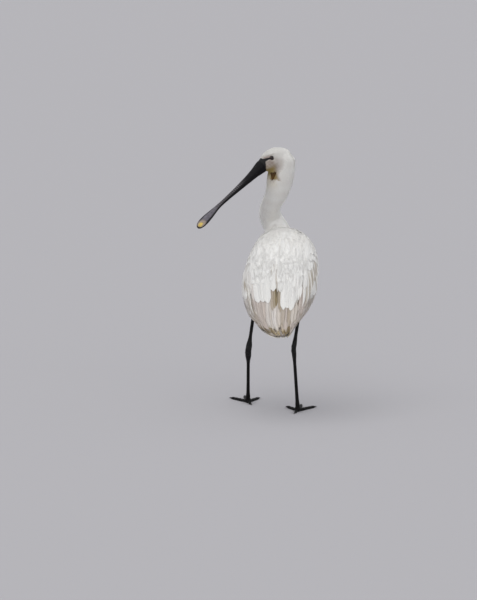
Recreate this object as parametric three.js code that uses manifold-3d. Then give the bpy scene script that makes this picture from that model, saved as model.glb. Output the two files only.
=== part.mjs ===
// A Eurasian spoonbill in life size, standing in mid-stride with its head turned over its left shoulder.
// Millimetres, +Z up, the bird's body faces +Y, its right side is +X. The ground is Z = 0, and the origin
// lies on it under the middle of the bird's bounding box.
import * as THREE from "three";
import { mergeVertices } from "three/addons/utils/BufferGeometryUtils.js";
import Module from "manifold-3d";

const wasm = await Module();
wasm.setup();

// ---------------------------------------------------------------- driving dimensions
const GAP = 0.35; // clearance between neighbouring pieces
const BODY_PITCH = 26; // slope of the back, head end up, degrees
const BREAST = new THREE.Vector3(0, 176, 380); // foremost point of the trunk
const BODY_LENGTH = 417; // breast to tail tip, along the body's axis
const BODY_ROLL = 4; // right shoulder up, degrees
const WING_SKIN = 11; // thickness of the folded wing over the trunk
const BILL_LENGTH = 207;
const BILL_YAW = 117; // the head's turn to the left of straight ahead, degrees
const BILL_PITCH = 40; // below the horizon, degrees
const HEAD_PITCH = 20;
const HEAD_CENTRE = new THREE.Vector3(-9, 105, 560);
const EYE_RADIUS = 6.3;
const EYE_AT = { f: 14.2, u: 12, l: 11.6 }; // in the head's own axes: forward, up, sideways
const TARSUS_HEIGHT = 9; // centre of the toe joint above the ground
const SIDES = ["left", "right"];

// Each leg: ankle joint, the way up the tibia from it, the foot's centre on the ground, and the toes' heading
const LEGS = {
  left: {
    ankle: [-71.6, 45, 131],
    joint: [7.3, 6.4], // half width and half depth of the ankle
    knee: [0.143, 0.3, 0.95],
    foot: [-72, 112],
    heading: 6,
  },
  right: {
    ankle: [30.8, -28, 148.5],
    joint: [5.6, 7.4],
    knee: [0.148, 0.4, 0.9],
    foot: [40, -4],
    heading: -7,
  },
};
const BARE_TIBIA = 86; // ankle joint to the first feathers
const TIBIA = 165;

// ---------------------------------------------------------------- small tools
const rad = THREE.MathUtils.degToRad;
const V = (x, y, z) => new THREE.Vector3(x, y, z);

// A smooth curve through [station, value] pairs, without overshoot (monotone cubic).
function profile(...pairs) {
  const n = pairs.length,
    x = pairs.map((p) => p[0]),
    y = pairs.map((p) => p[1]);
  const d = [],
    m = [];
  for (let i = 0; i < n - 1; i++) d.push((y[i + 1] - y[i]) / (x[i + 1] - x[i]));
  m.push(d[0]);
  for (let i = 1; i < n - 1; i++)
    m.push(
      d[i - 1] * d[i] <= 0 ? 0 : (2 * d[i - 1] * d[i]) / (d[i - 1] + d[i]),
    );
  m.push(d[n - 2]);
  return (s) => {
    if (s <= x[0]) return y[0];
    if (s >= x[n - 1]) return y[n - 1];
    let i = 0;
    while (s > x[i + 1]) i++;
    const h = x[i + 1] - x[i],
      t = (s - x[i]) / h;
    return (
      y[i] * (1 + 2 * t) * (1 - t) ** 2 +
      m[i] * h * t * (1 - t) ** 2 +
      y[i + 1] * t * t * (3 - 2 * t) +
      m[i + 1] * h * t * t * (t - 1)
    );
  };
}

// A point of a rounded section: exponent 2 is an ellipse, more is squarer.
function ring(a, half, up, down, exponent = 2) {
  const c = Math.cos(a),
    s = Math.sin(a),
    p = 2 / exponent;
  return [
    half * Math.sign(c) * Math.abs(c) ** p,
    (s > 0 ? up : down) * Math.sign(s) * Math.abs(s) ** p,
  ];
}

// A closed body made from a ball: place(t, angle) says where station t, from 0 to 1, goes.
function loft(around, along, place) {
  const ball = new THREE.SphereGeometry(1, around, along);
  const at = ball.getAttribute("position"),
    uv = ball.getAttribute("uv");
  for (let i = 0; i < at.count; i++) {
    const row = Math.round((1 - uv.getY(i)) * along);
    const pole = row === 0 || row === along;
    const a = pole ? 0 : 2 * Math.PI * uv.getX(i);
    const p = place(row / along, a);
    at.setXYZ(i, p.x, p.y, p.z);
  }
  return solid(ball);
}

function solid(geometry) {
  const bare = new THREE.BufferGeometry().setAttribute(
    "position",
    geometry.getAttribute("position"),
  );
  bare.setIndex(geometry.index);
  const welded = mergeVertices(bare, 1e-3);
  const vertProperties = new Float32Array(welded.attributes.position.array);
  const triVerts = new Uint32Array(welded.index.array);
  const make = () =>
    new wasm.Manifold(new wasm.Mesh({ numProp: 3, vertProperties, triVerts }));
  let made = make();
  if (made.volume() < 0) {
    for (let i = 0; i < triVerts.length; i += 3)
      [triVerts[i + 1], triVerts[i + 2]] = [triVerts[i + 2], triVerts[i + 1]];
    made = make();
  }
  return made;
}

// The largest piece of a solid that a cut left in several.
function largest(s) {
  return s
    .decompose()
    .sort((a, b) => b.volume() - a.volume())[0];
}

const group = new THREE.Group();
const bounds = new THREE.Box3();
function add(name, s, material, tolerance = 0.15) {
  const m = largest(s.simplify(tolerance)).getMesh(),
    v = new Float32Array(m.numVert * 3);
  for (let i = 0; i < m.numVert; i++)
    v.set(m.vertProperties.subarray(i * m.numProp, i * m.numProp + 3), i * 3);
  const g = new THREE.BufferGeometry()
    .setAttribute("position", new THREE.BufferAttribute(v, 3))
    .setIndex(new THREE.BufferAttribute(m.triVerts, 1));
  g.computeVertexNormals();
  g.computeBoundingBox();
  bounds.union(g.boundingBox);
  const mesh = new THREE.Mesh(g, material);
  mesh.name = name;
  group.add(mesh);
}

// A half space's worth of block: everything on the far side of a plane.
function beyond(point, normal, reach = 900) {
  const box = new THREE.BoxGeometry(2 * reach, 2 * reach, 2 * reach);
  box.translate(0, 0, reach);
  box.applyQuaternion(
    new THREE.Quaternion().setFromUnitVectors(V(0, 0, 1), normal.clone().normalize()),
  );
  box.translate(point.x, point.y, point.z);
  return solid(box);
}
const cap = (s, point, normal) => s.subtract(beyond(point, normal));

// ---------------------------------------------------------------- materials
const paint = (color, roughness, metalness = 0) =>
  new THREE.MeshStandardMaterial({ color, roughness, metalness });
const WHITE = paint(0xe9e8e4, 0.85);
const STAINED = paint(0xc9bfb2, 0.85);
const HORN = paint(0x2f2e31, 0.5);
const LEG = paint(0x1d1d1c, 0.6);
const CLAW = paint(0x161616, 0.45);
const EYE = paint(0x35100c, 0.1);

// ---------------------------------------------------------------- trunk and folded wings
// The body's axis runs from the breast down to the tail tip; s is the distance along it, d the height over it.
const AXIS = V(0, -Math.cos(rad(BODY_PITCH)), -Math.sin(rad(BODY_PITCH)));
const OVER = V(0, -Math.sin(rad(BODY_PITCH)), Math.cos(rad(BODY_PITCH)));
const ACROSS = V(Math.cos(rad(BODY_ROLL)), 0, 0).addScaledVector(OVER, Math.sin(rad(BODY_ROLL)));
const RISE = OVER.clone().multiplyScalar(Math.cos(rad(BODY_ROLL))).add(V(-Math.sin(rad(BODY_ROLL)), 0, 0));
const sway = profile([0, 0], [30, 6], [80, 9], [145, 4.5], [200, -1], [240, -2.5], [280, -4.5], [330, -6.5], [365, -6], [392, -1.5], [417, 6]);
const inBody = (x, s, d) =>
  BREAST.clone().addScaledVector(AXIS, s).addScaledVector(RISE, d).addScaledVector(ACROSS, x + sway(s));

const bodyHalf = profile([0, 0], [6, 23], [20, 41.5], [48, 61], [90, 75], [140, 83.5], [190, 87], [235, 84.5], [275, 77], [308, 68], [333, 58], [360, 45], [386, 30], [402, 20], [412, 11.5], [417, 0]);
const bodyUp = profile([0, 0], [6, 18], [20, 32], [48, 50], [90, 64], [140, 70.5], [190, 70], [235, 63], [280, 50], [320, 36], [355, 23], [386, 13], [402, 8], [412, 4.5], [417, 0]);
const bodyDown = profile([0, 0], [6, 24], [20, 42], [48, 59], [90, 70], [140, 76], [190, 72], [235, 60], [280, 43], [320, 27], [355, 16], [386, 9], [402, 6], [412, 3.5], [417, 0]);

function bodyShape(grow, around = 24, along = 18) {
  return loft(around, along, (t, a) => {
    const s = BODY_LENGTH * (0.5 - 0.5 * Math.cos(Math.PI * t)) ;
    const k = s <= 0 || s >= BODY_LENGTH - 1e-9 ? 0 : 1;
    const [x, d] = ring(
      a,
      k * Math.max(0.2, bodyHalf(s) + grow),
      k * Math.max(0.2, bodyUp(s) + grow),
      k * Math.max(0.2, bodyDown(s) + grow),
      2.15,
    );
    const end = grow * (t < 0.5 ? -1 : 1) * Math.abs(Math.cos(Math.PI * t));
    return inBody(x, s + end, d);
  });
}

// The folded wing is the shell of the body inside two outlines: one seen from the side, one from above.
function outline(points) {
  const shape = new THREE.Shape();
  shape.moveTo(...points[0]);
  shape.splineThru(points.slice(1).map((p) => new THREE.Vector2(...p)));
  shape.closePath();
  return shape;
}
const wingSide = (g) => [
  [34 - g, 12],
  [52, 62 + g],
  [100, 120 + g],
  [300, 120 + g],
  [412, 40 + g],
  [407 + g, 1],
  [388 + g, -7 - g],
  [330, -22 - g],
  [270, -37 - g],
  [210, -50 - g],
  [150, -55 - g],
  [90, -50 - g],
  [50, -32 - g],
  [34 - g, 12],
];
const wingInner = profile([20, 34], [80, 31], [140, 25], [200, 15], [260, 5], [320, GAP / 2], [420, GAP / 2]);
const WING_STATIONS = [20, 60, 100, 140, 180, 220, 260, 290, 320, 370, 395, 430];
function wingBlock(side, g) {
  const sign = side === "left" ? -1 : 1;
  const fromSide = new THREE.ExtrudeGeometry(outline(wingSide(g)), { depth: 240, bevelEnabled: false, curveSegments: 1 });
  fromSide.translate(0, 0, -120);
  fromSide.applyMatrix4(
    new THREE.Matrix4().makeBasis(AXIS, RISE, ACROSS).setPosition(BREAST),
  );
  const plan = new THREE.Shape();
  plan.moveTo(20 - g, 140);
  WING_STATIONS.forEach((s, i) => plan.lineTo(i ? s : s - g, wingInner(s) - g + sign * sway(s)));
  plan.lineTo(430, 140);
  plan.closePath();
  const fromTop = new THREE.ExtrudeGeometry(plan, { depth: 400, bevelEnabled: false });
  fromTop.translate(0, 0, -200);
  fromTop.applyMatrix4(
    new THREE.Matrix4().makeBasis(AXIS, ACROSS.clone().multiplyScalar(sign), RISE).setPosition(BREAST),
  );
  return solid(fromSide).intersect(solid(fromTop));
}
const whole = bodyShape(0);
const wider = bodyShape(2);
const CORE_END = 345; // behind it the wings close over the tail
const core = cap(bodyShape(-WING_SKIN), inBody(0, CORE_END, 0), AXIS);
const coreLess = cap(bodyShape(-WING_SKIN - GAP), inBody(0, CORE_END - GAP, 0), AXIS);

// The coverts end and the long flight feathers begin on a slanting line, high behind and low in front.
const COVERT_LINE = inBody(0, 236, 0);
const COVERT_NORMAL = AXIS.clone().multiplyScalar(0.9).addScaledVector(RISE, -0.38);
const covertCut = (sign) =>
  beyond(COVERT_LINE.clone().addScaledVector(COVERT_NORMAL, sign * GAP * 0.5), COVERT_NORMAL);

const tailStart = inBody(0, 322, 0);
let inner = whole;
for (const side of SIDES) {
  const shell = whole.intersect(wingBlock(side, 0)).subtract(core);
  add("wing_" + side, shell.subtract(covertCut(-1)), WHITE);
  add("flight_feathers_" + side, shell.intersect(covertCut(1)), STAINED);
  inner = inner.subtract(wider.intersect(wingBlock(side, GAP)).subtract(coreLess));
}
inner = largest(inner);

// ---------------------------------------------------------------- neck
const neckLine = new THREE.CatmullRomCurve3(
  [
    V(0, 98, 318),
    V(0, 146, 350),
    V(-6, 172, 388),
    V(-18, 178, 413),
    V(-23.5, 160, 434),
    V(-18, 134, 457),
    V(-8.5, 117, 479),
    V(-2.5, 109, 501),
    V(2, 106, 526),
    V(6, 106, 550),
    V(9, 106.5, 575),
  ],
  false,
  "centripetal",
);
const neckHalf = profile([0, 52], [0.15, 44], [0.29, 32.5], [0.38, 26.5], [0.47, 24.5], [0.57, 22.5], [0.66, 24], [0.75, 27.5], [0.84, 31], [0.92, 29], [1, 25]);
const neckDeep = profile([0, 52], [0.15, 47], [0.29, 38], [0.38, 31], [0.47, 26.5], [0.57, 23.5], [0.66, 23], [0.75, 23.5], [0.84, 24], [0.92, 24], [1, 22]);
const neckBack = profile([0, 52], [0.15, 49], [0.29, 45], [0.38, 40], [0.47, 31.5], [0.57, 25], [0.66, 23.5], [0.75, 23.5], [0.84, 24], [0.92, 24], [1, 22]); // fuller where it leans over the back
function neckShape(grow, around = 16, along = 17) {
  return loft(around, along, (t, a) => {
    const k = 0.5 - 0.5 * Math.cos(Math.PI * t);
    const at = neckLine.getPointAt(k),
      way = neckLine.getTangentAt(k);
    const end = Math.sqrt(Math.min(1, Math.sin(Math.PI * t) * 2.6));
    const across = V(1, 0, 0).addScaledVector(way, -way.x).normalize();
    const front = way.clone().cross(across);
    const pole = t <= 0 || t >= 1 ? 0 : end;
    return at
      .addScaledVector(across, pole * (neckHalf(k) + grow) * Math.cos(a))
      .addScaledVector(front, pole * ((Math.sin(a) > 0 ? neckDeep(k) : neckBack(k)) + grow) * Math.sin(a));
  });
}

// ---------------------------------------------------------------- head
const yaw = rad(BILL_YAW);
const level = V(-Math.sin(yaw), Math.cos(yaw), 0); // the head's heading, level
const left = V(-level.y, level.x, 0); // its left side
const pitched = (degrees) => level.clone().multiplyScalar(Math.cos(rad(degrees))).add(V(0, 0, -Math.sin(rad(degrees))));
const risen = (degrees) => level.clone().multiplyScalar(Math.sin(rad(degrees))).add(V(0, 0, Math.cos(rad(degrees))));
const inHead = (f, u, l) =>
  HEAD_CENTRE.clone()
    .addScaledVector(pitched(HEAD_PITCH), f)
    .addScaledVector(risen(HEAD_PITCH), u)
    .addScaledVector(left, l);

const headHalf = profile([-38, 0], [-36, 8], [-29, 16], [-14, 22], [0, 22.5], [12, 20.6], [22, 17.2], [30, 14.6], [37, 12.9], [40, 12.2], [42, 0]);
const headTop = profile([-38, 0], [-36, 8], [-29, 16], [-14, 25], [-2, 28.9], [10, 28.8], [22, 24.8], [30, 20.3], [37, 17.2], [40, 16], [42, 0]);
const headBottom = profile([-38, 0], [-36, 8], [-29, 15], [-14, 23], [0, 26.5], [12, 27], [22, 24.5], [30, 19.6], [37, 15.5], [40, 14.4], [42, 0]);
const headBend = profile([-38, 0], [8, 0], [38, BILL_PITCH - HEAD_PITCH], [42, BILL_PITCH - HEAD_PITCH]);
function headShape(grow, around = 18, along = 13) {
  return loft(around, along, (t, a) => {
    const f = -38 + 80 * (0.5 - 0.5 * Math.cos(Math.PI * t));
    const k = t <= 0 || t >= 1 ? 0 : 1;
    const [l, u] = ring(a, k * (headHalf(f) + grow), k * (headTop(f) + grow), k * (headBottom(f) + grow), 2.1);
    const lean = rad(headBend(f));
    const end = grow * -Math.cos(Math.PI * t);
    return inHead(f + end + u * Math.sin(lean), u * Math.cos(lean), l);
  });
}
const headWhole = headShape(0);
const headMore = headShape(GAP);

// ---------------------------------------------------------------- bill
const BILL_BASE = inHead(38.7, 0.4, 0);
const billWay = pitched(BILL_PITCH);
const billUp = risen(BILL_PITCH);
const billHalf = profile([-9, 0], [-8, 10], [0, 12], [25, 10.4], [60, 8.6], [95, 7.3], [116, 7.1], [131, 8.4], [146, 12], [160, 17.2], [173, 21.2], [185, 22.6], [195, 20.6], [202, 15], [206, 7], [207, 0]);
const billTop = profile([-9, 0], [-8, 12], [0, 14.8], [12, 13], [25, 11], [60, 7.2], [100, 4.5], [130, 3.4], [160, 2.7], [195, 2.3], [207, 0]);
const billUnder = profile([-9, 0], [-8, 12], [0, 14.6], [12, 12.4], [25, 9.6], [60, 5.6], [100, 3.4], [130, 2.7], [160, 2.2], [195, 1.9], [207, 0]);
const billSag = profile([-9, 0], [30, 0], [70, 1.6], [110, 4.2], [145, 6], [175, 5.6], [195, 4.2], [207, 2.2]); // the gape line over the straight axis
const inBill = (q, l, u) =>
  BILL_BASE.clone().addScaledVector(billWay, q).addScaledVector(left, l).addScaledVector(billUp, u + billSag(q));
function billShape(part, grow) {
  const whole = part === "whole";
  return loft(12, 24, (t, a) => {
    const k = t <= 0 || t >= 1 ? 0 : 1;
    const from = whole ? -12 : -9;
    const q = from + (BILL_LENGTH + grow - from) * (0.5 - 0.5 * Math.cos(Math.PI * t));
    const at = Math.min(Math.max(q, -8), BILL_LENGTH - 0.3);
    let [l, u] = ring(a, k * (billHalf(at) + grow), k * (billTop(at) + grow), k * (billUnder(at) + grow), 2.1);
    const half = GAP / 2;
    if (part === "upper") u = u > 0 ? u + half : half;
    if (part === "lower") {
      u = u < 0 ? u - half : -half;
      l *= 0.95;
    }
    if (!k && !whole) u = part === "upper" ? half : -half;
    return inBill(q, l, u);
  });
}
const billClear = billShape("whole", 2.5 * GAP);

// ---------------------------------------------------------------- eyes
const eyeSpot = (side) => inHead(EYE_AT.f, EYE_AT.u, side === "left" ? EYE_AT.l : -EYE_AT.l);
function ball(centre, radius, detail = 12) {
  const g = new THREE.SphereGeometry(radius, detail, Math.round(detail * 0.6));
  g.translate(centre.x, centre.y, centre.z);
  return solid(g);
}

// ---------------------------------------------------------------- joining them
let head = headWhole.subtract(billClear);
for (const side of SIDES) {
  head = head.subtract(ball(eyeSpot(side), EYE_RADIUS + GAP));
  add("eye_" + side, ball(eyeSpot(side), EYE_RADIUS), EYE, 0.02);
}
add("head", head, WHITE);
add("bill_upper", billShape("upper", 0), HORN, 0.06);
add("bill_lower", billShape("lower", 0), HORN, 0.06);

const neck = neckShape(0).subtract(headMore).subtract(bodyShape(GAP));
const cutAt = (k) => [neckLine.getPointAt(k), neckLine.getTangentAt(k)];
const [p1, n1] = cutAt(0.47),
  [p2, n2] = cutAt(0.72);
const shift = (p, n, by) => p.clone().addScaledVector(n, by);
// the neck's lower part keeps clear of its own upper bend
add("neck_lower", cap(neck, shift(p1, n1, -GAP / 2), n1), WHITE);
add("neck_middle", cap(cap(neck, shift(p2, n2, -GAP / 2), n2), shift(p1, n1, GAP / 2), n1.clone().negate()), WHITE);
add("neck_upper", cap(neck, shift(p2, n2, GAP / 2), n2.clone().negate()), WHITE);

add("trunk", cap(inner, tailStart.clone().addScaledVector(AXIS, -GAP / 2), AXIS), WHITE);
add("tail", cap(inner, tailStart.clone().addScaledVector(AXIS, GAP / 2), AXIS.clone().negate()), STAINED);

// ---------------------------------------------------------------- legs
const bodyClear = bodyShape(GAP);
const SHIN = 3.9; // radius of the leg between its joints
const thighSize = profile([0, 0], [3, 6.5], [10, 9.5], [35, 15], [75, 22], [110, 24], [125, 0]);
// from the joint outwards: how much of the joint's extra size is left
const knob = profile([-15, 0.75], [-8, 0.94], [0, 1], [12, 0.97], [20, 0.62], [28, 0.2], [38, 0], [200, 0]);
const shankThick = profile([-15, 0], [-14, 0.8], [-8, 1], [70, 1], [100, 1.12], [101, 0]);
const tarsusThick = (reach, g) => profile([-15, 0], [-14, 0.8], [-8, 1], [reach - 45, 0.98], [reach - 20, 1.08], [reach - 6, 1.3], [reach, 1.3], [reach + 1 + g, 0]);

function limb(from, way, lo, hi, size, around, along, grow = 0, lean = 0) {
  const across = V(1, 0, 0).addScaledVector(way, -way.x).normalize();
  const fore = way.clone().cross(across);
  return loft(around, along, (t, a) => {
    const q = lo + (hi - lo) * (0.5 - 0.5 * Math.cos(Math.PI * t));
    const [wide, deep] = t <= 0 || t >= 1 ? [0, 0] : size(q).map((r) => r + grow);
    return from
      .clone()
      .addScaledVector(way, q)
      .add(V(lean * (Math.max(0, q) / hi) ** 1.6, 0, 0))
      .addScaledVector(across, wide * Math.cos(a))
      .addScaledVector(fore, deep * Math.sin(a));
  });
}

// A toe lies along the ground from the foot's centre: [name, turn from the heading, length, radius].
const TOES = [
  ["middle", 0, 76, 4.3],
  ["inner", 31, 58, 4],
  ["outer", -29, 66, 4],
  ["hind", 172, 27, 3.4],
];
const CLAW_LENGTH = 9;
for (const side of SIDES) {
  const leg = LEGS[side];
  const ankle = V(...leg.ankle),
    up = V(...leg.knee).normalize();
  const foot = V(leg.foot[0], leg.foot[1], TARSUS_HEIGHT);
  const down = foot.clone().sub(ankle),
    reach = down.length();
  down.normalize();
  const split = up.clone().sub(down).normalize(); // halves the ankle's angle

  const inward = side === "left" ? 1 : -1; // the thigh leans in towards the knee
  const start = ankle.clone().addScaledVector(up, BARE_TIBIA);
  const thighShape = (g) => limb(start, up, -g, 125, (q) => [thighSize(q), 1.2 * thighSize(q)], 16, 12, g, inward * 24);
  const bone = (thick) => (q) => leg.joint.map((r, i) => thick(q) * ((i ? 1.15 : 1) * SHIN + knob(q) * (r - SHIN)));
  const thigh = thighShape(0);
  add("thigh_" + side, thigh.subtract(bodyClear), WHITE);
  const shank = limb(ankle, up, -15, 101, bone(shankThick), 10, 16).subtract(thighShape(GAP));
  add("shank_" + side, cap(shank, shift(ankle, split, GAP / 2), split.clone().negate()), LEG, 0.06);

  const turn = side === "left" ? 1 : -1;
  const heading = (degrees) => {
    const h = rad(leg.heading + turn * -degrees);
    return V(-Math.sin(h), Math.cos(h), 0);
  };
  let pad = ball(V(foot.x, foot.y, 6.4), 7.4, 8);
  const claws = [];
  for (const [name, degrees, length, r] of TOES) {
    const h = heading(degrees),
      across = V(h.y, -h.x, 0);
    const size = profile([0, 0], [1.5, r * 0.9], [length * 0.5, r * 0.92], [length * 0.85, r * 0.8], [length - 1, r * 0.62], [length, 0]);
    const toe = loft(7, 6, (t, a) => {
      const q = length * (0.5 - 0.5 * Math.cos(Math.PI * t));
            const rr = t <= 0 || t >= 1 ? 0 : size(q);
      const lift = 0.8 * r + (TARSUS_HEIGHT - 4) * Math.max(0, 1 - q / 16) ** 2 - 0.25 * r * (q / length);
      return V(foot.x, foot.y, lift)
        .addScaledVector(h, q)
        .addScaledVector(across, rr * Math.cos(a))
        .add(V(0, 0, rr * Math.sin(a)));
    });
    pad = pad.add(toe);
    const tip = V(foot.x, foot.y, 0).addScaledVector(h, length + GAP);
    const claw = loft(6, 5, (t, a) => {
      const k = 0.5 - 0.5 * Math.cos(Math.PI * t);
      const rr = t <= 0 || t >= 1 ? 0 : r * 0.5 * (1 - k) ** 0.7 * Math.min(1, t * 9) + 0.25;
      const z = 0.62 * r - 0.9 + 1.7 * Math.sin(2.4 * k) * 0.6 - 1.0 * k;
      return tip
        .clone()
        .addScaledVector(h, -1.6 + (CLAW_LENGTH + 1.6) * k)
        .addScaledVector(across, rr * 0.8 * Math.cos(a))
        .add(V(0, 0, Math.max(0.35, z) + rr * Math.sin(a)));
    });
    claws.push([name, claw]);
  }
  // small webs between the front toes
  for (const [a, b, far] of [["middle", "inner", 25], ["middle", "outer", 27]]) {
    const find = (n) => TOES.find((t) => t[0] === n)[1];
    const ha = heading(find(a)),
      hb = heading(find(b));
    const web = new THREE.Shape();
    web.moveTo(0, 0);
    web.lineTo(ha.x * far, ha.y * far);
    const mid = ha.clone().add(hb).normalize().multiplyScalar(far * 0.62);
    web.quadraticCurveTo(mid.x, mid.y, hb.x * far, hb.y * far);
    web.closePath();
    const plate = new THREE.ExtrudeGeometry(web, { depth: 1.6, bevelEnabled: false, curveSegments: 5 });
    plate.translate(foot.x, foot.y, 1.2);
    pad = pad.add(solid(plate));
  }
  const ground = beyond(V(0, 0, 0), V(0, 0, -1));
  const tarsus = (g) => limb(ankle, down, -15, reach + 1 + g, bone(tarsusThick(reach, g)), 10, 16, g);
  add("tarsus_" + side, cap(tarsus(0), shift(ankle, split, -GAP / 2), split), LEG, 0.06);
  const sole = pad.subtract(tarsus(GAP)).subtract(ground);
  claws.forEach(([name, claw]) => {
    add("claw_" + name + "_" + side, claw.subtract(pad).subtract(ground), CLAW, 0.03);
  });
  add("foot_" + side, sole, LEG);
}

// ---------------------------------------------------------------- the frame
const middle = bounds.getCenter(V(0, 0, 0));
group.position.set(-middle.x, -middle.y, -bounds.min.z);

export default group;
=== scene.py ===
"""A Eurasian spoonbill in plain plumage, standing, its head turned back over its left shoulder.
Design coordinates are millimetres: X to the bird's right, Y ahead of it, Z up from the ground."""
import math

import bmesh
import bpy
import numpy as np
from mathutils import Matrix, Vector
from mathutils.bvhtree import BVHTree


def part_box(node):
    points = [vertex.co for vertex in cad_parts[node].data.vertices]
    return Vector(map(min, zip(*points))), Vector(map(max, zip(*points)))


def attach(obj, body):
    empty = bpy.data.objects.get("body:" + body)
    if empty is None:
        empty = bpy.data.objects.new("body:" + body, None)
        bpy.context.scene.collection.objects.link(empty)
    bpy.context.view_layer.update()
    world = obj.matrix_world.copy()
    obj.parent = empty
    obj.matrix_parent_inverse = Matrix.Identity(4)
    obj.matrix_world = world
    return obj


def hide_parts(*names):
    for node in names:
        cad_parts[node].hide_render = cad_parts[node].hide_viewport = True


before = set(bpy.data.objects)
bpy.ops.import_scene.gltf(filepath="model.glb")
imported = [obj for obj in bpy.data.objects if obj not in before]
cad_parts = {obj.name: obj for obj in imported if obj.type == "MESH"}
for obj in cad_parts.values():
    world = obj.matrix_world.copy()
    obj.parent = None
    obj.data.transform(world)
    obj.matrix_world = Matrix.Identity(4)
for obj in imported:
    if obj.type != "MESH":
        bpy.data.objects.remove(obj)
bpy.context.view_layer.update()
RNG = np.random.default_rng(7)

# ------------------------------------------------------------------ small tools
rad = math.radians


def A(*v):
    return np.array(v, float)


def unit(v):
    v = np.asarray(v, float)
    return v / np.maximum(np.linalg.norm(v, axis=-1, keepdims=True), 1e-9)


def dot(a, b):
    return (a * b).sum(-1)


class Profile:
    """A smooth curve through (station, value) pairs, without overshoot."""

    def __init__(self, *pairs):
        self.x = np.array([p[0] for p in pairs], float)
        self.y = np.array([p[1] for p in pairs], float)
        d = np.diff(self.y) / np.diff(self.x)
        m = [d[0]]
        for i in range(1, len(d)):
            m.append(0 if d[i - 1] * d[i] <= 0 else 2 * d[i - 1] * d[i] / (d[i - 1] + d[i]))
        m.append(d[-1])
        self.m = np.array(m)

    def __call__(self, s):
        s = np.clip(np.asarray(s, float), self.x[0], self.x[-1])
        i = np.clip(np.searchsorted(self.x, s, side="right") - 1, 0, len(self.x) - 2)
        h = self.x[i + 1] - self.x[i]
        t = (s - self.x[i]) / h
        return (
            self.y[i] * (1 + 2 * t) * (1 - t) ** 2
            + self.m[i] * h * t * (1 - t) ** 2
            + self.y[i + 1] * t * t * (3 - 2 * t)
            + self.m[i + 1] * h * t * t * (t - 1)
        )


def smooth(x, lo, hi):
    t = np.clip((np.asarray(x, float) - lo) / (hi - lo), 0, 1)
    return t * t * (3 - 2 * t)


def noise(p, scale, seed=0):
    """Cheap smooth noise in -1..1 from a few turned sine waves."""
    g = np.random.default_rng(seed)
    out = 0
    for _ in range(6):
        k = unit(g.normal(size=3)) / scale * g.uniform(0.6, 1.7)
        out = out + np.sin(2 * np.pi * (p @ k) + g.uniform(0, 6.28))
    return out / 3.2


# ------------------------------------------------------------------ the bird's own measures
BREAST = A(0, 176, 380)
PITCH = rad(26)
ROLL = rad(4)
LENGTH = 417
AXIS = A(0, -math.cos(PITCH), -math.sin(PITCH))
OVER = A(0, -math.sin(PITCH), math.cos(PITCH))
ACROSS = A(math.cos(ROLL), 0, 0) + math.sin(ROLL) * OVER
RISE = math.cos(ROLL) * OVER + A(-math.sin(ROLL), 0, 0)
sway = Profile((0, 0), (30, 6), (80, 9), (145, 4.5), (200, -1), (240, -2.5), (280, -4.5), (330, -6.5), (365, -6), (392, -1.5), (417, 6))
body_half = Profile((0, 0), (6, 23), (20, 41.5), (48, 61), (90, 75), (140, 83.5), (190, 87), (235, 84.5), (275, 77), (308, 68), (333, 58), (360, 45), (386, 30), (402, 20), (412, 11.5), (417, 0))
body_up = Profile((0, 0), (6, 18), (20, 32), (48, 50), (90, 64), (140, 70.5), (190, 70), (235, 63), (280, 50), (320, 36), (355, 23), (386, 13), (402, 8), (412, 4.5), (417, 0))
body_down = Profile((0, 0), (6, 24), (20, 42), (48, 59), (90, 70), (140, 76), (190, 72), (235, 60), (280, 43), (320, 27), (355, 16), (386, 9), (402, 6), (412, 3.5), (417, 0))

YAW = rad(117)
LEVEL = A(-math.sin(YAW), math.cos(YAW), 0)
LEFT = A(-LEVEL[1], LEVEL[0], 0)
UP = A(0, 0, 1)


def pitched(deg):
    return LEVEL * math.cos(rad(deg)) - UP * math.sin(rad(deg))


def risen(deg):
    return LEVEL * math.sin(rad(deg)) + UP * math.cos(rad(deg))


HEAD_PITCH, BILL_PITCH = 20, 40
HEAD = A(-9, 105, 560)
HF, HU = pitched(HEAD_PITCH), risen(HEAD_PITCH)


def in_head(f, u, l):
    f, u, l = (np.asarray(v, float)[..., None] for v in (f, u, l))
    return HEAD + f * HF + u * HU + l * LEFT


def to_head(p):
    d = p - HEAD
    return dot(d, HF), dot(d, HU), dot(d, LEFT)


head_half = Profile((-38, 0), (-36, 8), (-29, 16), (-14, 22), (0, 22.5), (12, 20.6), (22, 17.2), (30, 14.6), (37, 12.9), (40, 12.2), (42, 0))
head_top = Profile((-38, 0), (-36, 8), (-29, 16), (-14, 25), (-2, 28.9), (10, 28.8), (22, 24.8), (30, 20.3), (37, 17.2), (40, 16), (42, 0))
head_bottom = Profile((-38, 0), (-36, 8), (-29, 15), (-14, 23), (0, 26.5), (12, 27), (22, 24.5), (30, 19.6), (37, 15.5), (40, 14.4), (42, 0))
head_bend = Profile((-38, 0), (8, 0), (38, 20), (42, 20))
EYE = dict(f=14.2, u=12.0, l=11.6, r=6.3)

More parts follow.
